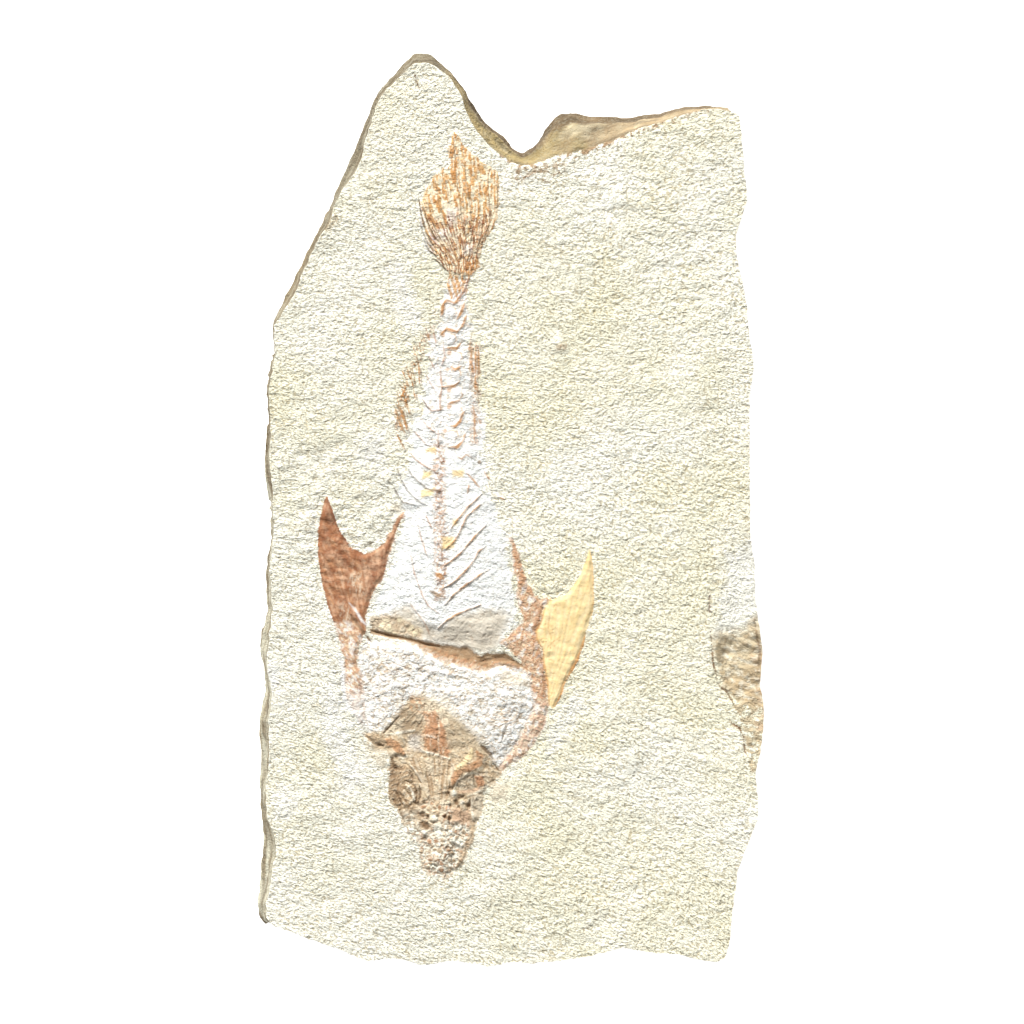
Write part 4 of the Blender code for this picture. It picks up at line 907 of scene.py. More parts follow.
def paint_shoulder(face):
    face.wash(SHOULDER_AREA, WHITE, 0.92, 0.9, 0.8, grain=0.5)
    face.mottle(SHOULDER_AREA, BRIGHT, 0.6, (3.0, 1.8), 0.5, seed=7.0, rise=0.1)
    face.mottle(SHOULDER_AREA, TAN, 0.6, (3.0, 1.4), 0.26, seed=8.0, rise=-0.08, turn=-15)
    face.strokes(WRINKLES, 1.1, BRIGHT, cover=0.4, rise=0.22)
    face.crazing(SHOULDER_AREA, BROWN, 0.75, (2.6, 1.3), 0.1, seed=1.0)
    face.crazing(SHOULDER_AREA, GREY_BROWN, 0.85, (1.7, 0.9), 0.14, seed=2.0)
    face.crazing(SHOULDER_AREA, LIGHT_BROWN, 0.75, (1.1, 0.7), 0.17, seed=9.0)
    face.crazing(SHOULDER_LEFT, DARK_BROWN, 0.75, (1.9, 0.9), 0.13, seed=12.0, rise=-0.18)
    turns = np.linspace(-2.4, -0.4, 12)
    for radius in ARC_RADII:
        arc = [(radius * math.cos(turn), radius * math.sin(turn)) for turn in turns]
        face.strokes(moved([arc], *ARC_CENTRE), 0.5, ORANGE, cover=0.4)
    face.stroke(DIAMOND, 0.5, LIGHT_BROWN)
    face.stroke([(-21, -55), (-19, -53.6), (-17.5, -54.3)], 0.5, BROWN)
    face.wash(SHOULDER_RIGHT, TAN, 0.6, 1.0, 1.2)


# --- The skull ---

FOREHEAD_SHADE = [(-37, -65), (-29, -63), (-28.6, -75), (-33, -76), (-38, -73)]
FOREHEAD_PALE = [(-32, -62), (-22, -62), (-18, -68), (-23, -73), (-30, -71)]
FOREHEAD_STAIN = [(-34, -62), (-29, -62.6), (-29, -68), (-33, -67)]
REAR_SLOPE_SHADE = [
    (-21, -67.4), (-15, -71), (-9, -75.6), (-6.4, -81), (-10, -80), (-14, -79), (-20.5, -82),
]
LEFT_WING = [(-49, -75), (-46, -74.4), (-41, -76.6), (-41, -79.6), (-46, -79.4)]
LEFT_SLOPE = [(-43.4, -74.6), (-38.4, -69.4), (-36, -70), (-37.6, -74.4)]
MEDIAN = [
    (-28.8, -67.4), (-25.4, -66.8), (-24, -69.4), (-22.4, -72), (-21.8, -76), (-20.4, -80.4),
    (-21.6, -82.4), (-25.2, -81), (-28.6, -79.6), (-29.8, -75), (-28.6, -71),
]
LEFT_FIELD = [
    (-40.4, -84), (-37, -85), (-35, -84.8), (-31.4, -90), (-30.6, -98), (-33, -101.4),
    (-35.6, -104), (-37.6, -101), (-39.8, -97), (-40.6, -90),
]
LEFT_MARGIN_SHADE = [(-40.6, -85), (-38.6, -85), (-37.2, -92), (-36.8, -100), (-39.6, -97), (-40.6, -91)]
FIBRE_AREA = [(-34, -82.6), (-20, -83.2), (-18.8, -88), (-20, -97), (-26, -99), (-30.4, -92)]
FIBRE_ROOT = (-23.4, -112)
ROOF_RIDGE = [(-41.4, -76.6), (-38.4, -78.8), (-35.6, -81.4)]
ROOF_PALE = [(-34.6, -75.4), (-30, -75.6), (-30, -79.6), (-34, -79.6)]
SOCKET_CORNER = [(-12.4, -88.6), (-9.4, -88.6), (-8.8, -91.6), (-11, -92.6)]
SOCKET = [(-18.8, -92.4), (-17, -89.6), (-14, -88.3), (-11.8, -88.6), (-11.6, -93), (-15, -94)]
CHEEK = [(-12.8, -95.4), (-9.6, -94.4), (-9.6, -100), (-11.8, -104.4), (-13, -101), (-13.2, -97)]
PINK_FIELD = [(-20, -99.4), (-14, -100), (-13.4, -103.6), (-16, -105), (-20, -103.6)]
SNOUT_AREA = [
    (-31.4, -107.6), (-22, -104), (-14, -104.6), (-13.4, -110), (-16, -117), (-20, -121),
    (-22.6, -124), (-26, -121.6), (-29.6, -119.6), (-30.6, -113),
]
GRANULES = [(0.3, FIN_BROWN), (0.4, LIGHT_BROWN), (0.18, BROWN)]  # share, colour
UPPER_GRANULES = [(-30, -97), (-20, -97), (-20, -103), (-27, -106), (-31, -101)]
SNOUT_FLANK = [(-36.4, -101), (-32, -100.6), (-30.4, -108), (-32.4, -111), (-34.6, -107)]
JAW_LINE = [(-12.4, -106), (-13.6, -109.6), (-15.4, -113), (-17, -117), (-18.6, -119.6)]
BROW = [
    (-19.6, -91.6), (-18.4, -88.2), (-16, -86.4), (-12.6, -85.4), (-10.8, -84.4), (-10.2, -82.4),
    (-11.4, -80.6),
]
BROW_EDGE = [(-18.4, -86.6), (-15.2, -84), (-13.8, -82), (-13, -79.6)]
SOCKET_RING = [
    (-19, -93), (-17.6, -90.2), (-14.6, -88), (-11.8, -87.6), (-9, -88.6), (-7.6, -90.6),
]
CHEEK_RIDGE = [(-14.4, -95.4), (-11, -94), (-9, -93.2), (-7.4, -91.4)]
SKULL_CRACKS = [
    (1.3, [(-40, -82.4), (-39, -84.8), (-38.2, -86.8)]),
    (1.1, [(-38.6, -86), (-36, -86.4)]),
    (0.7, [(-35, -84.4), (-33, -86.4), (-31.4, -88.6), (-30, -91)]),
    (1.2, [(-33.6, -87), (-32.4, -89.6)]),
    (0.7, [(-34.6, -90.4), (-32, -92), (-31.4, -94), (-31.6, -97)]),
    (0.9, [(-30.4, -92), (-30.2, -94.6), (-30.6, -96.8)]),
    (0.8, [(-37, -94.4), (-34.6, -97.6)]),
    (0.7, [(-38.6, -93.4), (-36, -98.4)]),
    (0.7, [(-35.4, -93), (-33, -96)]),
    (0.7, [(-39.4, -96.4), (-37.4, -99.4)]),
    (0.9, [(-37, -100), (-35.4, -104)]),
    (0.9, [(-32.4, -97.4), (-31, -98), (-30.6, -97)]),
    (0.8, [(-29.6, -97), (-28.2, -98)]),
    (0.6, [(-42.6, -74.6), (-40, -71.8), (-37.4, -69)]),
    (1.0, [(-48, -75.4), (-45.6, -77.8), (-42.6, -78.6)]),
    (1.4, [(-10, -78.6), (-8.4, -79.8), (-7, -81.2), (-6, -83)]),
    (0.7, [(-5.8, -84.6), (-4, -87)]),
    (0.7, [(-20.6, -94), (-20.4, -96)]),
    (1.1, [(-19, -97), (-15.6, -95.2)]),
    (0.9, [(-18.6, -97), (-17, -99.4)]),
    (1.0, [(-13.6, -96.6), (-13.8, -99.6)]),
    (0.6, [(-20.6, -102), (-20.6, -105)]),
    (0.6, [(-12.4, -88.6), (-12.2, -91.6), (-11.4, -92.8)]),
]
SKULL_HOLES = [
    (-29.4, -101.6, 1.3), (-27.8, -102.4, 1.0), (-29.6, -104.8, 1.5), (-28, -105.6, 1.5),
    (-22, -102.3, 0.8), (-20.4, -103, 0.8), (-20.2, -98.6, 0.8), (-19.9, -92.8, 0.8),
    (-18.2, -97.6, 0.9), (-14.2, -98.4, 1.0), (-28.6, -109.6, 1.0), (-21.2, -112.4, 0.9),
]
WHITE_KNOBS = [
    (-25.3, -102.7, 1.4), (-24.6, -105.8, 1.9), (-24, -108.2, 1.6), (-17, -111, 1.9),
    (-19.4, -110, 1.3), (-19, -94.4, 1.2), (-16.2, -97.4, 0.9), (-29, -107.6, 0.9),
]
SKULL_EDGES = [
    (0.9, [(-30, -80.4), (-26, -81.2), (-20.4, -83)]),
    (1.2, [(-40, -74.8), (-36, -74), (-32, -73.4)]),
    (1.0, [(-38.4, -81.6), (-36, -82.6), (-34.4, -81.8)]),
    (0.8, [(-34.6, -91.6), (-32.8, -94), (-32.2, -97)]),
    (0.7, [(-33.4, -85.2), (-31, -88), (-29.6, -91)]),
    (0.8, [(-13, -95.6), (-13.2, -99), (-12.6, -103.4)]),
    (0.8, [(-31.2, -103.4), (-30.8, -106.2), (-29, -107.6), (-26.8, -106.6)]),
    (0.8, [(-20.4, -97.4), (-21, -100), (-19.4, -100.6)]),
    (0.8, [(-28.4, -75), (-25, -76)]),
]


def paint_skull(face):
    face.wash(SKULL_AREA, TAN_BONE, 0.92, 1.5, 1.9, grain=0.5)
    face.mottle(SKULL_AREA, LIGHT_BROWN, 0.6, (2.4, 3.4), 0.5, seed=11.0, rise=-0.1)
    face.mottle(SKULL_AREA, PALE_BONE, 0.7, (1.2, 2.0), 0.34, seed=12.0, rise=0.12)
    face.mottle(SKULL_AREA, BROWN, 0.5, (0.9, 1.5), 0.26, seed=18.0, rise=-0.08)
    face.wash(FOREHEAD_SHADE, GREY_BROWN, 0.7, 1.8, 1.4)
    face.fibres(FOREHEAD_SHADE, (-24, -60), DARK_BROWN, 0.5, 0.9, seed=8.0, rise=-0.08)
    # Painted shade: grey-brown where the skull slopes down from the shoulder's crest.
    face.wash(REAR_SLOPE_SHADE, GREY_BROWN, 0.6, 2.2, 1.0, rise=-0.2, grain=0.5)
    face.wash(LEFT_WING, LIGHT_BROWN, 0.7, 0.9, 0.8)
    face.wash(LEFT_SLOPE, PALE_BONE, 0.6, 1.2, 1.0, grain=0.6)
    face.wash(FOREHEAD_PALE, PALE_BONE, 0.6, 1.6, 1.8)
    face.wash(MEDIAN, ORANGE_BROWN, 0.75, 0.9, 1.4, rise=0.1)
    face.mottle(MEDIAN, PALE_BONE, 0.6, (0.9, 2.4), 0.34, seed=71.0, turn=8)
    face.mottle(MEDIAN, DEEP_RED, 0.5, (0.8, 2.0), 0.32, seed=72.0, turn=8)
    face.fibres(MEDIAN, (-25, -40), RED_BROWN, 0.6, 0.9, seed=13.0, rise=0.08)
    face.mottle(FOREHEAD_STAIN, ORANGE_BROWN, 0.6, (1.0, 1.6), 0.5, seed=78.0)
    face.fibres(FIBRE_AREA, FIBRE_ROOT, BROWN, 0.7, 0.85, seed=6.0, rise=-0.12, amount=0.45)
    face.fibres(FIBRE_AREA, FIBRE_ROOT, PALE_BONE, 0.5, 0.8, seed=9.0, rise=0.06, amount=0.4)
    face.wash(LEFT_FIELD, BROWN_BONE, 0.75, 1.0, 1.0)
    face.mottle(LEFT_FIELD, DARK_BROWN, 0.6, (0.8, 2.2), 0.3, seed=16.0, rise=-0.15, turn=-55)
    face.mottle(LEFT_FIELD, PALE_BONE, 0.7, (0.9, 2.4), 0.3, seed=17.0, rise=0.12, turn=-55)
    # Painted shade along the skull's raised left edge.
    face.wash(LEFT_MARGIN_SHADE, DARK_BROWN, 0.5, 0.9, 0.8)
    face.crazing(LEFT_FIELD, DARK_BROWN, 0.8, (1.5, 2.4), 0.16, seed=19.0)
    face.stroke(ROOF_RIDGE, 2.8, ORANGE_BROWN, cover=0.85, rise=0.45, ends=(0.2, 0.5))
    face.wash(ROOF_PALE, BRIGHT, 0.4, 1.4, 1.6)
    face.stroke(BROW, 2.4, ORANGE_BROWN, cover=0.85, rise=0.4, ends=(0.2, 0.2))
    face.stroke(BROW_EDGE, 1.8, YELLOW, cover=0.8, rise=0.2)
    face.wash(SOCKET, TAN, 0.6, 1.0, 0.9, rise=-0.2)
    face.mottle(SOCKET, BROWN_BONE, 0.6, (1.2, 0.8), 0.4, seed=77.0)
    face.wash(SOCKET_CORNER, RED_BROWN, 0.85, 0.4, 0.4, rise=0.2)
    face.stroke([(-18, -94), (-14, -93.8), (-10, -92.8)], 1.0, PINK_BROWN, cover=0.8)
    face.stroke(SOCKET_RING, 0.6, CREAM, cover=0.4, rise=0.15)
    face.stroke(CHEEK_RIDGE, 0.8, CREAM, cover=0.5, rise=0.15)
    face.wash(PINK_FIELD, PINK_BROWN, 0.8, 0.9, 0.8)
    face.wash(CHEEK, TAN, 0.9, 0.6, 0.4, rise=0.1, grain=0.4)
    face.cells(SNOUT_AREA, 1.55, GRANULES, CREAM, seed=2.0, rise=0.22)
    face.cells(UPPER_GRANULES, 2.0, GRANULES, PALE_BONE, seed=4.0)
    face.mottle(SNOUT_AREA, CREAM, 0.6, (1.7, 1.1), 0.36, seed=79.0, turn=-30)
    face.mottle(SNOUT_AREA, BROWN, 0.65, (1.3, 0.8), 0.38, seed=80.0, turn=-20)
    face.stroke(JAW_LINE, 1.9, LIGHT_BROWN, cover=0.8, rise=0.2, ends=(0.2, 0.4))
    for x, y, radius in WHITE_KNOBS:
        face.lump(x, y, 0.85 * radius, 0.25, CREAM, 0.85)
    for width, line in SKULL_EDGES:
        face.stroke(line, 0.8 * width, CREAM, cover=0.55, rise=0.15)
    face.crazing(SKULL_AREA, DARK_BROWN, 0.6, (1.6, 2.2), 0.13, seed=3.0, rise=-0.15)
    for width, line in SKULL_CRACKS:
        face.stroke(line, 0.85 * width, DEEP_BROWN, cover=0.85, rise=-0.3, soft=0.2)
    for x, y, radius in SKULL_HOLES:
        face.lump(x, y, radius * 0.9, -0.35, DARK_BROWN, 0.85)
    face.wash(SNOUT_FLANK, CREAM, 0.5, 1.4, 1.6)
    face.mottle(SNOUT_FLANK, BROWN, 0.7, (1.3, 0.9), 0.42, seed=81.0, turn=-50)


# --- The left pectoral fin ---

LEFT_FIN_AREA = [
    (-61.3, 4.4), (-62.3, 2.5), (-63, -1), (-63.8, -5), (-64.3, -13), (-64, -17), (-63.3, -21),
    (-62.5, -26), (-61, -31), (-59.3, -36), (-58, -39.5), (-56.8, -43), (-56, -47),
    (-55.3, -50), (-55, -54), (-54.8, -58), (-54.3, -62), (-53, -66), (-50.4, -71),
    (-48.8, -71), (-49.3, -65), (-49.7, -58), (-50, -55), (-51.5, -52), (-51.5, -49),
    (-51, -45.5), (-50, -43), (-48.4, -40.6), (-48.5, -35), (-47.8, -32.5), (-46.5, -28.5),
    (-44.8, -25), (-43, -23), (-42, -20), (-41.5, -16), (-40, -13), (-39.5, -10.5), (-38, -6),
    (-36, -2), (-35.5, -0.3), (-37.2, -2), (-38.5, -4.5), (-40, -7.5), (-42, -10.8),
    (-44.5, -12.8), (-47, -14.3), (-49, -14.7), (-51, -14), (-53, -13.2), (-54.5, -11.5),
    (-56, -9.5), (-57.5, -6.5), (-58.5, -4), (-59.5, -1), (-60.3, 1.5),
]
LEFT_BLADE_ROOT = (-44.0, -62.0)
LEFT_STRAP = [
    (-59, -38), (-56.8, -43), (-56, -47), (-55.3, -50), (-55, -54), (-54.8, -58), (-54.3, -62),
    (-53, -66), (-50, -72), (-48, -72), (-49.3, -65), (-49.7, -58), (-50, -55), (-51.5, -52),
    (-51.5, -49), (-51, -45.5), (-50, -43), (-49, -41), (-52, -37),
]
STRAP_HALO = [
    (-58, -46), (-57, -52), (-56.6, -60), (-55, -67), (-53, -66), (-54.8, -58), (-55.5, -50),
]
STRAP_END = [(-54.5, -62), (-50, -60), (-48, -73), (-53, -72)]
LEFT_LOBE = [
    (-47.6, -32), (-43, -23), (-41, -15), (-38, -6), (-36, -1), (-39, -4), (-43, -12), (-48, -15),
    (-50, -24),
]
LEFT_TIP = [(-61.4, 4), (-64, -6), (-64, -13), (-59, -9), (-60, -1)]
LEFT_PALES = [
    [(-58, -30), (-54, -31), (-53, -38), (-56, -40)],
    [(-55, -22), (-50, -20), (-49, -28), (-53, -28)],
]
LEFT_SPOTS = [  # x, y, radius
    (-51.5, -15, 2.0), (-60, -13, 1.6), (-60.5, -21, 1.5), (-57, -31, 1.8), (-48.3, -31.5, 1.4),
]
LEFT_RIM = [(-61, 3), (-63.4, -5), (-63.9, -14), (-63, -22), (-60.6, -32), (-57.4, -41)]


def paint_left_fin(face):
    face.plate(LEFT_FIN_AREA, 0.4)
    face.wash(STRAP_HALO, BRIGHT, 0.8, 1.2, 1.0)
    face.wash(LEFT_FIN_AREA, FIN_BROWN, 0.93, 0.5, 0.55, grain=0.35)
    face.wash(LEFT_LOBE, PINK_BROWN, 0.6, 1.4, 1.2)
    face.fibres(LEFT_FIN_AREA, LEFT_BLADE_ROOT, DEEP_RED, 0.5, 0.8, seed=11.0, rise=0.1)
    face.fibres(LEFT_FIN_AREA, LEFT_BLADE_ROOT, PINK_BROWN, 0.5, 0.7, seed=12.0, rise=-0.05, amount=0.4)
    face.mottle(LEFT_FIN_AREA, DEEP_RED, 0.5, (3.4, 4.4), 0.4, seed=61.0, rise=0.06)
    face.mottle(LEFT_FIN_AREA, PINK_BROWN, 0.5, (2.2, 3.4), 0.34, seed=62.0)
    face.mottle(LEFT_FIN_AREA, DARK_RED, 0.5, (0.8, 1.6), 0.32, seed=66.0, turn=-20)
    face.mottle(LEFT_FIN_AREA, DARK_RED, 0.45, (2.6, 5.0), 0.3, seed=67.0, turn=-12)
    face.wash(LEFT_TIP, DARK_RED, 0.55, 2.0, 1.0)
    face.stroke([(-59.4, -3), (-56, -10.5), (-51, -15), (-46, -15)], 2.2, DARK_RED, cover=0.5, soft=0.8)
    for outline in LEFT_PALES:
        face.mottle(outline, PALE_BONE, 0.5, (0.8, 2.6), 0.4, seed=76.0, turn=-12)
    for x, y, radius in LEFT_SPOTS:
        face.lump(x, y, radius, 0.0, DEEP_RED, 0.5)
    face.stroke(LEFT_RIM, 0.8, DEEP_RED, cover=0.6)
    face.stroke([(-61, 3), (-59.4, -2), (-57, -7.6), (-54, -12)], 0.8, DARK_RED, cover=0.7)
    face.wash(LEFT_STRAP, PINK_BROWN, 0.6, 1.2, 1.2)
    face.mottle(LEFT_STRAP, WHITE, 0.7, (1.8, 3.4), 0.5, seed=14.0)
    face.mottle(LEFT_STRAP, STRAW, 0.5, (0.7, 1.2), 0.4, seed=17.0)
    face.mottle(LEFT_STRAP, RED_BROWN, 0.6, (0.6, 1.0), 0.3, seed=15.0)
    face.crazing(LEFT_STRAP, DEEP_RED, 0.5, (1.0, 1.6), 0.12, seed=16.0)
    face.wash(STRAP_END, WHITE, 0.6, 3.0, 1.2)
    face.stroke([(-54, -31), (-52, -33), (-50, -36.5), (-48, -38.5)], 0.9, BRIGHT, cover=0.9)
    face.stroke([(-53.5, -35), (-51, -38.5), (-49, -41), (-46.2, -44.5)], 1.0, DARK_BROWN, rise=-0.3)


# --- The right pectoral fin: yellow blade and brown band ---

BLADE_AREA = [
    (26, -13), (27, -16), (27.3, -20), (27.3, -25), (27.5, -30), (27.2, -34), (26, -37),
    (25, -41), (23.5, -46), (22, -50), (19.5, -54.5), (17.5, -58.5), (16.5, -62), (15, -65),
    (14, -66.3), (12.8, -65), (12.3, -62), (12.3, -58), (11.5, -54), (10.8, -50), (10.8, -47),
    (10, -45), (8.7, -43), (8.3, -40.5), (9.8, -38), (10.5, -36), (10.6, -34), (11.5, -32),
    (13, -30.3), (15, -29.5), (18, -28.5), (20, -26.5), (22, -23.5), (23.5, -20.5), (25, -17),
    (25.8, -14),
]
BLADE_ROOT = (10.0, -74.0)
BAND_AREA = [
    (0, -9.5), (2.5, -14.5), (4, -20), (5.5, -24), (7.5, -27.5), (9, -29.3), (12.8, -30.2),
    (11.2, -32), (10.4, -35), (9.4, -38.4), (8, -40.5), (8.4, -43), (10.4, -47), (10.6, -50),
    (11.2, -54), (12, -58), (12, -62), (12.5, -66), (11.5, -70), (9.5, -74), (7.5, -78),
    (5, -81), (2.5, -83.5), (0, -84.5), (-3.5, -87.5), (-3.5, -85), (-1, -82), (0.5, -79.5),
    (3, -76), (4.5, -73), (5.5, -70), (7.5, -67), (8, -64), (7, -60), (7, -56), (5, -53),
    (3, -50), (1, -48), (-3, -44), (1.5, -40), (4, -38), (4, -35), (2.5, -32), (2, -25),
    (1.2, -20), (0.8, -16),
]
BAND_SPINE = [
    (0.6, -10), (2, -17), (4, -24), (8, -30), (9, -36), (7.4, -42), (9.6, -49), (11, -57),
    (10.6, -66),
]
BAND_END = [(12.5, -64), (8, -64), (3, -76), (-3.5, -86), (0, -85), (8, -78)]
BLADE_BY_BAND = [
    (12, -30), (16, -29), (15, -40), (14.6, -52), (14, -64), (12, -64), (10, -48), (8, -42),
]
BLADE_SHADED_EDGE = [
    (25, -41), (23.5, -46), (22, -50), (19.5, -54.5), (17.5, -58.5), (16.5, -62), (14.5, -65.5),
]
BLADE_SCALLOPS = [
    (12.8, -65), (12.3, -58), (10.8, -50), (10.8, -47), (8.7, -43), (8.3, -40.5), (10.5, -36),
    (11.5, -32),
]


def paint_right_fin(face):
    face.plate(BLADE_AREA, 0.4)
    face.plate(BAND_AREA, 0.3)
    face.wash(BAND_AREA, PINK_BROWN, 0.9, 0.9, 0.9, grain=0.7)
    face.mottle(BAND_AREA, FIN_BROWN, 0.6, (2.0, 3.6), 0.46, seed=21.0, rise=0.08, turn=-35)
    face.mottle(BAND_AREA, RED_BROWN, 0.6, (0.6, 1.6), 0.36, seed=25.0, turn=-40)
    face.mottle(BAND_AREA, WHITE, 0.6, (2.0, 3.0), 0.3, seed=22.0, turn=-30)
    face.mottle(BAND_AREA, STRAW, 0.5, (0.6, 1.1), 0.34, seed=26.0, turn=-30)
    face.stroke(BAND_SPINE, 1.4, RED_BROWN, cover=0.5, ends=(0.2, 0.3))
    face.wash(BAND_END, WHITE, 0.15, 3.0, 1.2)
    face.wash(BLADE_AREA, YELLOW, 0.95, 0.4, 0.35, grain=0.2)
    face.fibres(BLADE_AREA, BLADE_ROOT, YELLOW_DEEP, 0.4, 1.0, seed=23.0, rise=0.08)
    face.mottle(BLADE_AREA, YELLOW_DEEP, 0.4, (2.6, 4.4), 0.4, seed=63.0, rise=0.03, turn=-20)
    face.crazing(BLADE_BY_BAND, DEEP_ORANGE, 0.45, (2.6, 1.6), 0.08, seed=65.0)
    face.mottle(BLADE_AREA, ORANGE, 0.3, (0.6, 0.8), 0.24, seed=75.0)
    # Painted shade: a darker band along the blade's lower-right edge, which faces away from the light.
    face.stroke(BLADE_SHADED_EDGE, 1.1, DEEP_ORANGE, cover=0.8)
    face.stroke(BLADE_SCALLOPS, 0.6, DEEP_ORANGE, cover=0.7)
    face.stroke([(26.6, -14), (27.4, -22), (27.6, -30), (26.6, -37), (25, -41)], 0.6, ORANGE, cover=0.45)
    face.stroke([(12, -46), (14, -44), (16.5, -42.3)], 0.4, DEEP_ORANGE, cover=0.6)
    face.stroke([(13, -34), (12.4, -39), (13.4, -43)], 0.4, DEEP_ORANGE, cover=0.5)


# --- Marks on the stone ---

STONE_MARKS = [
    [(-32, 145), (-31, 140.5)],
    [(77, -77), (78.5, -82)],
    [(72, -70), (77, -74)],
    [(-42, -108), (-40.5, -109.5)],
    [(-9, -119), (-7, -120)],
    [(22, -137), (24, -140), (26, -138.6), (28, -143), (30, -141.6)],
    [(30.6, 70.2), (31.2, 68.8)],
    [(33.4, 75.4), (34.2, 74.2)],
]
STONE_WHITES = [
    [(-84, -50), (-76, -52), (-75, -62), (-84, -64)],
    [(-80, -88), (-70, -92), (-70, -104), (-80, -104)],
    [(-44, 82), (-34, 84), (-28, 62), (-36, 56)],
    [(-52, 26), (-40, 30), (-42, 12), (-52, 14)],
    [(-60, -48), (-54, -70), (-46, -92), (-56, -96), (-66, -72)],
    [(10, -72), (22, -58), (26, -66), (12, -88)],
]
CHIP_AREA = [
    (67.6, -42), (68.2, -48), (68.8, -53), (70.2, -57.5), (73, -61), (77, -64), (90, -65),
    (90, -34), (83, -35), (78, -39.5), (73, -41),
]
CHIP_DARK = [(76, -54), (71, -57), (74, -62), (78, -65), (90, -65), (90, -46), (84, -44), (80, -50)]
SHELF_AREA = [
    (71, -14), (69, -22), (68, -30), (68, -37), (68.4, -42), (76, -42), (81, -38), (90, -34),
    (90, -14), (78, -10),
]
CHIP_FOOT = [(74, -64.5), (77.4, -72), (78.6, -79), (80, -88), (90, -88), (90, -64)]
CHIP_RIM = [(80, -48), (90, -48), (90, -80), (82, -76)]
CHIP_TURN = -24.0
# dark lines down the scarp: shallow cracks, with the scarp's shadow painted into them
SCARP_CRACKS_AND_SHADOWS = [
    [(66.4, -26), (66, -31), (66.6, -36)],
    [(66.3, -40), (67, -45.7), (67.3, -50.3), (69, -57.7), (70.4, -59.6), (72.3, -60.7)],
    [(71.4, -60), (73.6, -63.6), (74.8, -66)],
    [(73, -70.3), (76.3, -72.7), (77.6, -76.6), (78, -81.7)],
    [(81, -36), (82, -42), (83, -47), (82.6, -52)],
]
PEAK_CRACK = [(-32.4, 146), (-31.6, 143), (-30.4, 139.6)]
NOTCH_LINE = [(-3, 113.6), (3, 112.8), (9, 113.2), (14, 115), (21, 115.8)]
NOTCH_SPECKS = [(2, 108), (16, 112), (24, 116), (8, 115), (-4, 114)]
NOTCH_FOOT = [(1, 105), (16, 107), (18, 115), (1, 115)]
NOTCH_RIM = [
    (-5, 119), (0, 115), (4, 113.4), (10, 114.4), (22, 117.2), (37, 122.8), (50, 127.6),
    (66, 132.4), (66, 134.6), (50, 130), (37, 125.2), (22.6, 119.7), (10.5, 116.6), (3.5, 115.5),
    (-0.5, 117), (-4, 120),
]
STONE_RIDGES_AND_SHADOWS = [
    [(-61.4, 15.9), (-57.8, 18.3), (-51, 18.9), (-47.4, 16.5)],
    [(-60.8, 15.3), (-58.4, 12.2)],
    [(-52.9, 4.3), (-48.6, 6.7), (-45.5, 7.9), (-43.1, 5.5)],
]
STONE_STAINS_AND_SHADOWS = [  # outline, colour, cover, feather, ragged edge, grain left
    ([(43, 27), (43, 43), (63, 43), (63, 27)], CREAM_WARM, 0.5, 6.0, 3.0, None),
    ([(14, 53), (18, 53), (19, 55), (15, 56)], LIGHT_BROWN, 0.6, 1.0, 1.0, None),
    ([(-63, 94), (-58, 100), (-57, 97), (-61, 92)], WALL_TAN, 0.6, 1.0, 1.0, None),
    ([(-41, -1), (-36, -1), (-36, 2.5), (-40, 2.5)], TAN, 0.6, 1.2, 0.8, None),
    # these two are painted shadow on the stone beside the raised skull
    ([(-49, -77), (-41, -78), (-40.6, -88), (-44, -87), (-48, -82)], TAN, 0.6, 2.0, 1.6, 0.6),
    ([(-8, -89), (0, -91), (-1, -97.5), (-8, -99)], TAN, 0.6, 2.0, 1.6, 0.6),
]


def paint_chip(face):
    """The broken patch at the right-hand edge: a pale shelf, then brown lumps."""
    where = face.near(CHIP_AREA + CHIP_FOOT, 3.0)
    lumps = ripple(turned(face.points[where], CHIP_TURN), (4.6, 2.5), 36.0)
    lumps += 0.5 * face.coarse[where] + 0.3 * face.fine[where]
    share = face.share_in(where, CHIP_AREA, 2.0, 1.0)
    share = np.maximum(share, 0.6 * face.share_in(where, CHIP_FOOT, 2.0, 1.0))
    face.height[where] += 0.6 * lumps * share
    face.wash(SHELF_AREA, SHELF_WHITE, 0.7, 5.0, 6.0)
    face.wash(CHIP_AREA, CHIP_TAN, 0.85, 2.4, 2.6, grain=0.7)
    face.wash(CHIP_DARK, CHIP_BROWN, 0.65, 3.0, 2.6)
    face.mottle(CHIP_AREA, CREAM, 0.5, (3.0, 1.5), 0.36, seed=33.0, turn=CHIP_TURN)
    face.mottle(CHIP_AREA, CHIP_BROWN, 0.6, (2.0, 1.2), 0.34, seed=34.0, turn=CHIP_TURN)
    face.mottle(CHIP_FOOT, CHIP_TAN, 0.8, (3.6, 1.8), 0.6, seed=31.0, turn=CHIP_TURN)
    face.mottle(CHIP_FOOT, CHIP_BROWN, 0.5, (2.6, 1.2), 0.35, seed=37.0, turn=CHIP_TURN)
    face.mottle(CHIP_RIM, PINK_BROWN, 0.3, (1.4, 2.6), 0.45, seed=38.0)
    # Cracks down the scarp, darkened with painted shadow.
    face.strokes(SCARP_CRACKS_AND_SHADOWS, 0.65, DARK_BROWN, cover=0.85, rise=-0.3, soft=0.2)


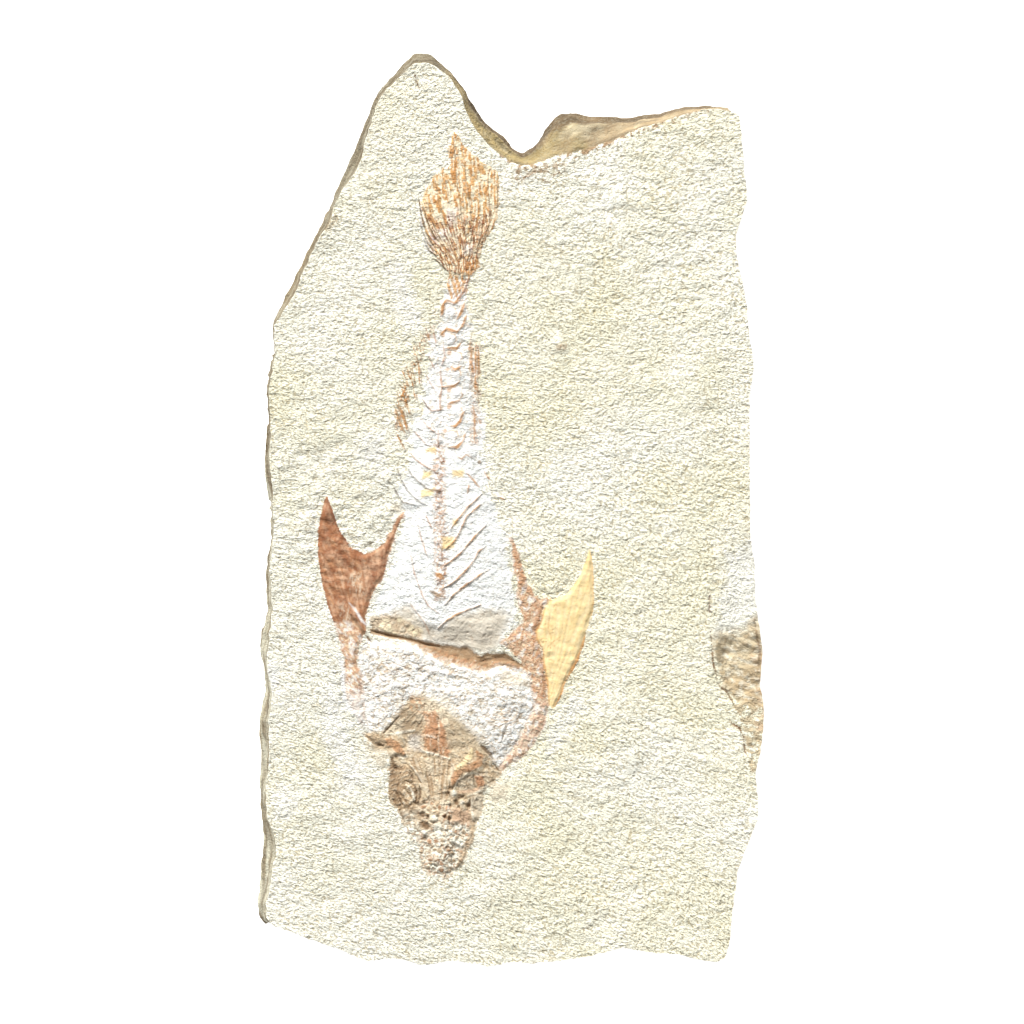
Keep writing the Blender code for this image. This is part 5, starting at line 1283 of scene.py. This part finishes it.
def paint_stone(face):
    face.strokes(STONE_MARKS, 0.6, BROWN, cover=0.75, rise=-0.15)
    # Raised ridges on the stone, with their shadow painted in brown along them.
    face.strokes(STONE_RIDGES_AND_SHADOWS, 1.0, BROWN, cover=0.4, rise=0.3, soft=0.5)
    face.stroke(PEAK_CRACK, 0.9, DARK_BROWN, cover=0.7, rise=-0.2)
    for outline in STONE_WHITES:
        face.wash(outline, BRIGHT, 0.5, 4.0, 4.0)
    face.stroke(NOTCH_LINE, 1.2, TAN, cover=0.7, soft=0.6)
    face.mottle(NOTCH_SPECKS, BROWN, 0.5, (1.8, 0.9), 0.36, seed=39.0)
    paint_chip(face)
    face.mottle(NOTCH_RIM, BROWN, 0.8, (2.4, 1.1), 0.42, seed=40.0, turn=12, rise=-0.1)
    face.mottle(NOTCH_FOOT, BROWN, 0.6, (2.6, 1.2), 0.34, seed=35.0)
    # Stains, and the painted shadow beside the skull.
    for outline, colour, cover, feather, ragged, grain in STONE_STAINS_AND_SHADOWS:
        face.wash(outline, colour, cover, feather, ragged, grain=grain)


def painted_face(points):
    face = Face(points)
    paint_stone(face)
    paint_trunk(face)
    raise_head(face)
    paint_shoulder(face)
    paint_crack(face)
    paint_left_fin(face)
    paint_right_fin(face)
    paint_skull(face)
    paint_tail(face)
    return face


# --- Meshes ---

STIR = 0.22  # how far the filling's points stray, as a share of their spacing
CLEARANCE = 0.55  # and how far they stay from a border
SHARP_ANGLE = math.radians(62)


def resampled_ring(columns, spacing):
    """A closed ring of rows with a row about every spacing of its first two columns."""
    rows = np.vstack([columns, columns[:1]])
    passed = np.concatenate([[0.0], np.cumsum(np.linalg.norm(np.diff(rows[:, :2], axis=0), axis=1))])
    steps = np.arange(0.0, passed[-1] - spacing / 2.0, spacing)
    return np.column_stack([np.interp(steps, passed, rows[:, index]) for index in range(rows.shape[1])])


def rounded(ring):
    """The ring with its corners eased over a few rows."""
    return sum(weight * np.roll(ring, shift, 0) for shift, weight in ((-1, 0.25), (0, 0.5), (1, 0.25)))


def tile_ring(name):
    """The evenly spaced border of a tile, anticlockwise."""
    spacing, outline = TILES[name]
    outline = np.array(outline, float)
    after = np.roll(outline, -1, 0)
    if (outline[:, 0] * after[:, 1] - after[:, 0] * outline[:, 1]).sum() < 0:
        outline = outline[::-1]
    return resampled_ring(outline, spacing)


def filling(outline, spacing, seed, keep_clear=()):
    """Stirred points inside an outline, clear of its border and of the other rings."""
    low, high = np.min(outline, axis=0), np.max(outline, axis=0)
    row_height = spacing * math.sqrt(3.0) / 2.0
    columns = np.arange(low[0], high[0], spacing)
    across, up = np.meshgrid(columns, np.arange(low[1], high[1], row_height))
    across[1::2] += spacing / 2.0
    points = np.column_stack([across.ravel(), up.ravel()])
    points += np.random.default_rng(seed).uniform(-STIR, STIR, points.shape) * spacing
    points = points[is_inside(points, outline)]
    taken = np.vstack([outline, *keep_clear])
    tree = kdtree.KDTree(len(taken))
    for index, (x, y) in enumerate(taken):
        tree.insert((x, y, 0.0), index)
    tree.balance()
    gaps = np.array([tree.find((x, y, 0.0))[2] for x, y in points])
    return points[gaps > spacing * CLEARANCE]


def triangulated(outline, inner):
    """The outline's points, then the inner ones, and the triangles between them."""
    points = np.vstack([outline, inner])
    count = len(outline)
    edges = [(index, (index + 1) % count) for index in range(count)]
    flat, _, faces, *_ = geometry.delaunay_2d_cdt([Vector(p) for p in points], edges, [], 1, 1e-4)
    return np.array(flat), [tuple(face) for face in faces]


def lofted(first, second, count):
    """Quads from one ring of corners to the ring below it, given each ring's first index."""
    quads = []
    for index in range(count):
        after = (index + 1) % count
        quads.append((first + after, first + index, second + index, second + after))
    return quads


def add_piece(name, node, points, faces, values, material):
    """Makes a mesh object in place of a CAD node, with the face's values as attributes."""
    data = bpy.data.meshes.new(name)
    data.from_pydata((np.asarray(points) * MM).tolist(), [], faces)
    data.validate()
    for key, numbers in values.items():
        if numbers.ndim == 2:
            attribute = data.attributes.new(key, "FLOAT_COLOR", "POINT")
            rgba = np.column_stack([numbers, np.ones(len(numbers))])
            attribute.data.foreach_set("color", rgba.ravel().astype(np.float32))
        else:
            attribute = data.attributes.new(key, "FLOAT", "POINT")
            attribute.data.foreach_set("value", numbers.astype(np.float32))
    data.materials.append(material)
    data.shade_smooth()
    data.set_sharp_from_angle(angle=SHARP_ANGLE)
    piece = bpy.data.objects.new(name, data)
    bpy.context.scene.collection.objects.link(piece)
    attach(piece, "root")
    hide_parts(node)
    return piece


# --- Materials ---


class Graph:
    """Short calls for building a node material."""

    def __init__(self, name):
        self.material = bpy.data.materials.new(name)
        self.material.use_nodes = True
        self.nodes = self.material.node_tree.nodes
        self.links = self.material.node_tree.links
        self.shader = self.nodes["Principled BSDF"]

    def add(self, kind, inputs=None, **settings):
        made = self.nodes.new("ShaderNode" + kind)
        for key, value in settings.items():
            setattr(made, key, value)
        for key, value in (inputs or {}).items():
            self.set(made.inputs[key], value)
        return made

    def set(self, socket, value):
        if isinstance(value, bpy.types.NodeSocket):
            self.links.new(value, socket)
        else:
            socket.default_value = value

    def scaled(self, vector, factors):
        return self.add("VectorMath", {0: vector, 1: factors}, operation="MULTIPLY").outputs[0]

    def math(self, operation, first, second=0.0, clamp=False):
        made = self.add("Math", operation=operation, use_clamp=clamp)
        self.set(made.inputs[0], first)
        self.set(made.inputs[1], second)
        return made.outputs[0]

    def mix(self, share, first, second):
        made = self.add("Mix", data_type="RGBA")
        self.set(made.inputs[0], share)
        for index, value in ((6, first), (7, second)):
            plain = not isinstance(value, bpy.types.NodeSocket)
            self.set(made.inputs[index], (*linear(value), 1.0) if plain else value)
        return made.outputs[2]

    def noise(self, vector, scale, detail=2.0, roughness=0.5, distortion=0.0):
        values = {"Vector": vector, "Scale": scale, "Detail": detail, "Roughness": roughness}
        made = self.add("TexNoise", {**values, "Distortion": distortion})
        return made.outputs[0]

    def ramp(self, value, low, high):
        """0 at low and 1 at high, eased between."""
        values = {"Value": value, "From Min": low, "From Max": high}
        made = self.add("MapRange", values, interpolation_type="SMOOTHSTEP")
        return made.outputs[0]

    def attribute(self, name, colour=False):
        made = self.add("Attribute", attribute_name=name)
        return made.outputs["Color" if colour else "Fac"]


SPECK_SCALE = 2.2  # all scales are cells to a millimetre
PATCH_SCALE = 0.05
BROAD_SCALE = 0.018
WARM_SHADE_SCALE = 0.045
SPECK_SHARE = 0.25  # of the specks in the bump, and of the ridges
RIDGE_SHARE = 1.05
HOLLOW = (0.52, 0.37)  # where the grain's painted shade starts, and where it is full
HOLLOW_SHADE = 0.65
PAINTED_SHADE = 0.3
LEAST_ROUGHNESS = 0.78
ROUGHNESS_SPREAD = 0.2
GRAIN_TILT = 0.16  # the grain runs down to the right by this slope at mid-length,
GRAIN_TURN = -0.0013  # and by this much more to each millimetre up the slab
GRAIN_BEND = (0.014, 12.0)  # how often to a millimetre the grain bends, and how far
GRAIN_STRETCH = (0.85, 1.0, 1.3)
RIDGE_STRETCH = (0.75, 1.0, 1.0)
RIDGE_SCALE = 0.56
GRAIN_SCALE = 1.2
GRAIN_DEPTH = 0.88 * MM


def stone_material(name):
    """Cream limestone with its rippled grain and painted shade in the grain's hollows, under the paint of
    the remains.
    """
    graph = Graph(name)
    plain = graph.add("TexCoord").outputs["Object"]
    place = graph.scaled(plain, (1 / MM, 1 / MM, 1 / MM))

    bend = graph.math("SUBTRACT", graph.noise(place, GRAIN_BEND[0], 1.0), 0.5)
    across, up, _ = graph.add("SeparateXYZ", {0: place}).outputs
    slope = graph.math("ADD", graph.math("MULTIPLY", up, GRAIN_TURN), GRAIN_TILT)
    tilt = graph.math("MULTIPLY", across, slope)
    shift = graph.math("ADD", graph.math("MULTIPLY", bend, GRAIN_BEND[1]), tilt)
    shift = graph.add("CombineXYZ", {"Y": shift}).outputs[0]
    bent = graph.add("VectorMath", {0: place, 1: shift}, operation="ADD").outputs[0]
    ripples = graph.noise(graph.scaled(bent, GRAIN_STRETCH), GRAIN_SCALE, 3.0, 0.62, 0.2)
    specks = graph.noise(place, SPECK_SCALE, 2.0, 0.6)
    ridges = graph.noise(graph.scaled(bent, RIDGE_STRETCH), RIDGE_SCALE, 2.0, 0.5, 0.6)
    height = graph.math("ADD", ripples, graph.math("MULTIPLY", specks, SPECK_SHARE))
    height = graph.math("ADD", height, graph.math("MULTIPLY", ridges, RIDGE_SHARE))
    patches = graph.ramp(graph.noise(place, PATCH_SCALE, 3.0, 0.6), 0.36, 0.6)

    broad = graph.noise(place, BROAD_SCALE, 3.0, 0.55)
    stone = graph.mix(graph.ramp(broad, 0.4, 0.64), CREAM, CREAM_WARM)
    pale = graph.math("MULTIPLY", graph.math("SUBTRACT", 1.0, patches), 0.25)
    stone = graph.mix(pale, stone, BRIGHT)
    # Painted shade: the grain's hollows are painted darker, in a colour that turns warmer in broad patches.
    cavity = graph.ramp(ripples, *HOLLOW)
    warm_shade_share = graph.ramp(graph.noise(place, WARM_SHADE_SCALE, 2.0, 0.6), 0.48, 0.66)
    shade = graph.mix(warm_shade_share, GRAIN_PAINTED_SHADE, GRAIN_PAINTED_SHADE_WARM)
    stone = graph.mix(graph.math("MULTIPLY", cavity, HOLLOW_SHADE), stone, shade)

    speckle = graph.math("MULTIPLY", graph.math("SUBTRACT", specks, 0.5), 1.1)
    cover = graph.ramp(graph.math("ADD", graph.attribute("cover"), speckle), 0.22, 0.78)
    painted = graph.attribute("paint", colour=True)
    # Painted shade: the grain's hollows on the painted remains are darkened too, as far as their grain
    # attribute allows.
    paint_hollow_shade = graph.math("MULTIPLY", graph.attribute("grain"), PAINTED_SHADE)
    painted = graph.mix(graph.math("MULTIPLY", cavity, paint_hollow_shade), painted, PAINTED_SHADE_ON_PAINT)
    colour = graph.mix(cover, stone, painted)
    graph.set(graph.shader.inputs["Base Color"], colour)
    roughness = graph.math("MULTIPLY", specks, ROUGHNESS_SPREAD)
    roughness = graph.math("ADD", roughness, LEAST_ROUGHNESS)
    graph.set(graph.shader.inputs["Roughness"], roughness)
    graph.shader.inputs["Specular IOR Level"].default_value = 0.25

    bump = graph.add("Bump", {"Height": height, "Distance": GRAIN_DEPTH})
    strength = graph.math("ADD", graph.math("MULTIPLY", patches, 0.22), 0.87)
    strength = graph.math("MULTIPLY", strength, graph.attribute("grain"))
    graph.set(bump.inputs["Strength"], strength)
    graph.set(graph.shader.inputs["Normal"], bump.outputs[0])
    return graph.material


# --- The pieces ---


def covered_share(points, names, overlap):
    """How far the points have sunk where the named tiles cover them, from 0 to 1."""
    sunk = np.zeros(len(points))
    for name in names:
        outline = TILES[name][1]
        low, high = np.min(outline, axis=0), np.max(outline, axis=0)
        near = np.flatnonzero(((points > low) & (points < high)).all(axis=1))
        depth = depth_inside(points[near], outline)
        sunk[near] = np.maximum(sunk[near], smooth_step((depth - overlap) / 0.9))
    return sunk


def face_values(face, part):
    """The attributes that the material reads, for a part of the face."""
    return {"paint": face.paint[part], "cover": face.cover[part], "grain": face.grain[part]}


def add_tile(name, flat, faces, ring, face, part, above):
    """A closed plate: its face, a border that drops to a flat underside."""
    level = face.height[part]
    buried = np.minimum(BURIED_DEPTH, level - TILE_BASE - 0.2)
    level = level - buried * covered_share(flat, above, OVERLAP)
    top = np.column_stack([flat, level])
    lower = np.column_stack([flat[:ring], np.full(ring, TILE_BASE)])
    _, under = triangulated(flat[:ring], np.empty((0, 2)))
    count = len(flat)
    solid = faces + lofted(0, count, ring)
    solid += [tuple(count + corner for corner in face_corners[::-1]) for face_corners in under]
    values = {key: np.concatenate([row, row[:ring]]) for key, row in face_values(face, part).items()}
    material = stone_material(name + "_surface")
    return add_piece(name + "_relief", name, np.vstack([top, lower]), solid, values, material)


def rock(places, along, up, seed):
    """Noise from about -1 to 1 on (x, y, level), stretched along the beds."""
    scaled = places / (along, along, up) + (0.0, 0.0, seed)
    return np.array([noise.noise(Vector(place)) for place in scaled])


def within_box(points):
    """The points held inside the slab's width and length."""
    return np.clip(points, (-HALF_WIDTH, -HALF_LENGTH), (HALF_WIDTH, HALF_LENGTH))


def bed_number(places):
    """How many beds lie below each place, with the beds slightly bent."""
    return places[:, 2] / BED + BED_BEND * rock(places, 30.0, 9.0, 2.2)


def wall_rings(top, top_level, widest, creases):
    """The rows of the broken edge from the face down to the underside, with its bedding ledges."""
    into = inward(widest)
    steep = np.linalg.norm(top - widest, axis=1) < STEEP_OFFSET
    rows = []
    middle = top + (widest - top) * creases[:, :1]
    middle_level = top_level * creases[:, 1] + CREASE_WANDER * ripple(widest, WANDER_LENGTH, 5.7)
    widest_level = FOOT_LEVEL + FOOT_WANDER * ripple(widest, WANDER_LENGTH, 9.1)
    base = widest + FOOT_UNDERCUT * into
    marks = np.stack([
        np.column_stack([top, top_level]), np.column_stack([middle, middle_level]),
        np.column_stack([widest, widest_level]), np.column_stack([base, np.zeros(len(base))]),
    ])
    for step in np.linspace(0.0, 1.0, WALL_ROWS + 1)[1:]:
        index = min(int(np.searchsorted(WALL_STOPS, step)) - 1, len(WALL_STOPS) - 2)
        share = (step - WALL_STOPS[index]) / (WALL_STOPS[index + 1] - WALL_STOPS[index])
        row = marks[index] + (marks[index + 1] - marks[index]) * share
        bed = np.floor(bed_number(row))
        ledge = rock(np.column_stack([row[:, :2], BED_APART * bed]), 8.0, 7.0, 3.3)
        rough = 0.8 * ledge + 0.4 * rock(row, 16.0, 8.0, 15.1) + 0.45 * rock(row, 3.4, 2.0, 7.1)
        rough += 0.25 * rock(row, 1.4, 1.2, 4.9)
        edge = smooth_step(step / 0.15) * smooth_step((1.06 - step) / 0.12)
        shift = WALL_ROUGHNESS * (rough - 0.1) * edge
        row[:, :2] += np.where(steep, np.abs(shift), shift)[:, None] * into
        row[:, :2] = within_box(row[:, :2])
        rows.append(row)
    return rows


def blended(first, second, share):
    """Two colours mixed, by a share for each point."""
    return first * (1.0 - share[:, None]) + second * share[:, None]


def side_paint(sides):
    """Tan and brown beds with dark seams, olive and pale inside the notch, bleached down the left, with
    painted shade darkening the walls down the left and at the top end.
    """
    x, y, level = sides.T
    tone = 0.5 + 0.8 * rock(sides, 18.0, 1.6, 1.9) + 0.5 * rock(sides, 5.0, 1.2, 6.6)
    tan = blended(linear(WALL_TAN), linear(WALL_DARK), smooth_step(tone - 0.25))
    tan = blended(tan, linear(WALL_PALE), smooth_step(0.35 - tone))
    beds = bed_number(sides)
    seam = smooth_step(1.0 - 4.0 * np.abs(beds - np.round(beds)))
    seam *= smooth_step(0.4 + 1.6 * rock(sides, 12.0, 3.0, 21.0))
    tan = blended(tan, 0.6 * linear(WALL_DARK), 0.6 * seam)
    bruises = smooth_step(1.9 * rock(sides, 5.0, 2.6, 33.0) - 0.35)
    tan = blended(tan, linear(WALL_PALE), 0.6 * bruises)

    olive = smooth_step(0.3 + 1.6 * rock(sides, 7.0, 4.0, 4.2) + (22.0 - x) / 16.0)
    notch = blended(linear(NOTCH_TAN), linear(NOTCH_OLIVE), olive)
    reach = np.linalg.norm((sides[:, :2] - PALE_FACET) / PALE_FACET_SIZE, axis=1)
    pale = 0.25 * smooth_step(0.2 + 1.4 * rock(sides, 4.0, 2.4, 8.1))
    pale += 0.65 * smooth_step(1.2 - reach + 0.9 * rock(sides, 2.6, 2.6, 12.4))
    notch = blended(notch, linear(WALL_PALE), np.clip(pale, 0.0, 1.0))
    low = smooth_step((NOTCH_LIP + 1.4 * rock(sides, 6.0, 6.0, 17.0) - level) / 1.2)
    notch = blended(notch, linear(NOTCH_DARK), low) * (0.6 + 0.8 * tone[:, None])

    left = smooth_step((-x - 8.0) / 20.0)
    lower = smooth_step((40.0 - y) / 60.0)
    bleached = smooth_step(0.45 + 1.1 * rock(sides, 12.0, 2.4, 5.5)) * left * (0.2 + 0.55 * lower)
    # Painted shade: the walls down the left and at the top end are darkened.
    tan *= (1.0 - 0.5 * left - 0.12 * smooth_step((y - 96.0) / 20.0))[:, None]
    tan = blended(tan, linear(CREAM_WARM) * 0.7, bleached)
    in_notch = smooth_step((y - 112.0) / 4.0) * smooth_step((x + 24.0) / 6.0) * smooth_step((72.0 - x) / 6.0)
    return blended(tan, notch, in_notch)


def slab_edges():
    """The widest line, the top edge and the creases between them, all round the slab."""
    steep = np.column_stack([STEEP_WALL, STEEP_WALL]).astype(float)
    walls = np.vstack([LEFT_WALL, steep, NOTCH_WALL]).astype(float)
    in_notch = np.arange(len(walls)) >= len(LEFT_WALL) + len(steep) + NOTCH_START
    creases = np.where(in_notch[:, None], NOTCH_CREASE, STEEP_CREASE)
    ring = resampled_ring(np.column_stack([walls, creases]), SLAB_SPACING)
    ring = rounded(rounded(ring))
    widest, top, creases = ring[:, :2], ring[:, 2:4], ring[:, 4:]
    into = inward(widest)
    nibbles = 0.2 * ripple(widest, 6.0, 1.1) + 0.25 * ripple(widest, 2.1, 2.9)
    widest = within_box(widest + nibbles[:, None] * into)
    ragged = np.where(top[:, 0] < RAGGED_LEFT, *RAGGEDNESS)
    draft = np.where(np.linalg.norm(top - widest, axis=1) < STEEP_OFFSET, STEEP_DRAFT, EDGE_DRAFT)
    top = top + (draft + nibbles + ragged * ripple(top, 2.0, 8.8))[:, None] * into
    return widest, top, creases


def slab_face(top):
    """The points and triangles of the slab's face, finer round the chip."""
    rings = [tile_ring(name) for name in TILES]
    inner = filling(top, SLAB_SPACING, 5, rings)
    chip = filling(np.array(FINE_AREA, float), FINE_SPACING, 8)
    chip = chip[depth_inside(chip, top) > FINE_SPACING]
    inner = inner[~is_inside(inner, FINE_AREA)]
    return triangulated(top, np.vstack([inner, chip, *rings]))


def underside(base):
    """The points and triangles of the underside, a rough parting plane."""
    flat, faces = triangulated(base, filling(base, UNDERSIDE_SPACING, 6))
    hollow = 0.9 * np.abs(ripple(flat, 14.0, 7.7)) + 0.25 * np.abs(ripple(flat, 4.0, 3.9))
    hollow *= smooth_step(depth_inside(flat, base) / UNDERSIDE_FADE)
    return np.column_stack([flat, hollow]), faces


def add_slab():
    widest, top, creases = slab_edges()
    count = len(top)
    flat, faces = slab_face(top)
    face = painted_face(flat)
    face.height += (SUNK_LEVEL - face.height) * covered_share(flat, TILES, 0.0)
    points = [np.column_stack([flat, face.height])]

    rows = wall_rings(top, face.height[:count], widest, creases)
    start, made = 0, len(flat)
    for row in rows:
        faces += lofted(start, made, count)
        points.append(row)
        start, made = made, made + count
    under, triangles = underside(rows[-1][:, :2])
    points.append(under[count:])
    place = np.concatenate([np.arange(count) + start, np.arange(len(under) - count) + made])
    faces += [tuple(int(place[corner]) for corner in triangle[::-1]) for triangle in triangles]

    points = np.vstack(points)
    sides = points[len(flat):]
    values = {
        "paint": np.vstack([face.paint, side_paint(sides)]),
        "cover": np.concatenate([face.cover, np.full(len(sides), SIDE_COVER)]),
        "grain": np.concatenate([face.grain, np.full(len(sides), SIDE_GRAIN)]),
    }
    add_piece("slab_stone", "slab", points, faces, values, stone_material("limestone"))


def add_remains():
    """All the tiles, painted in one go."""
    shapes = []
    for index, name in enumerate(TILES):
        ring = tile_ring(name)
        flat, faces = triangulated(ring, filling(ring, TILES[name][0], 10 + index))
        shapes.append((name, flat, faces, len(ring)))
    face = painted_face(np.vstack([flat for _, flat, _, _ in shapes]))
    start, above = 0, []
    for name, flat, faces, ring in shapes:
        part = slice(start, start + len(flat))
        add_tile(name, flat, faces, ring, face, part, above)
        start += len(flat)
        above.append(name)


# --- The studio ---

CAMERA_LENS = 600.0
SENSOR = 36.0
VIEW_WIDTH = 1024.0 / 3.0 * MM  # the photograph's frame at the face, three pixels to a millimetre
VIEW_CENTRE = (1.0 / 3.0 * MM, -2.0 / 3.0 * MM)
KEY_DIRECTION = (-1.65, 4.5, 2.7)  # from the slab towards the light
KEY_STRENGTH = 6.0
KEY_SPREAD = math.radians(11.5)
KEY_COLOUR = (1.0, 0.99, 0.965)
SKY_COLOUR = (1.0, 0.995, 0.985, 1.0)
SKY_STRENGTH = 0.3
FLOOR_SIZE = 6.0
FLOOR_SHADE = 0.9


def add_camera():
    camera = bpy.data.cameras.new("camera")
    camera.lens = CAMERA_LENS
    camera.sensor_width = SENSOR
    camera.clip_start = 0.5
    camera.clip_end = 50.0
    holder = bpy.data.objects.new("camera", camera)
    distance = VIEW_WIDTH * CAMERA_LENS / SENSOR
    holder.location = (*VIEW_CENTRE, THICKNESS * MM + distance)
    bpy.context.scene.collection.objects.link(holder)
    bpy.context.scene.camera = holder


def add_key_light():
    light = bpy.data.lights.new("key", "SUN")
    light.energy = KEY_STRENGTH
    light.angle = KEY_SPREAD
    light.color = KEY_COLOUR
    holder = bpy.data.objects.new("key", light)
    holder.location = KEY_DIRECTION
    holder.rotation_euler = (-Vector(KEY_DIRECTION)).to_track_quat("-Z", "Y").to_euler()
    bpy.context.scene.collection.objects.link(holder)


def paper_material():
    """White paper that the light hardly shades."""
    graph = Graph("white_paper")
    graph.shader.inputs["Base Color"].default_value = (FLOOR_SHADE, FLOOR_SHADE, FLOOR_SHADE, 1.0)
    graph.shader.inputs["Roughness"].default_value = 0.9
    graph.shader.inputs["Emission Color"].default_value = (1.0, 1.0, 1.0, 1.0)
    graph.shader.inputs["Emission Strength"].default_value = FLOOR_SHADE
    return graph.material


def add_floor():
    data = bpy.data.meshes.new("floor")
    shape = bmesh.new()
    bmesh.ops.create_grid(shape, x_segments=1, y_segments=1, size=FLOOR_SIZE)
    shape.to_mesh(data)
    shape.free()
    data.materials.append(paper_material())
    floor = bpy.data.objects.new("floor", data)
    bpy.context.scene.collection.objects.link(floor)


def add_sky():
    world = bpy.data.worlds.new("studio")
    world.use_nodes = True
    background = world.node_tree.nodes["Background"]
    background.inputs["Color"].default_value = SKY_COLOUR
    background.inputs["Strength"].default_value = SKY_STRENGTH
    bpy.context.scene.world = world
    bpy.context.scene.view_settings.view_transform = "Standard"


add_camera()
add_floor()
add_sky()
add_key_light()
add_slab()
add_remains()
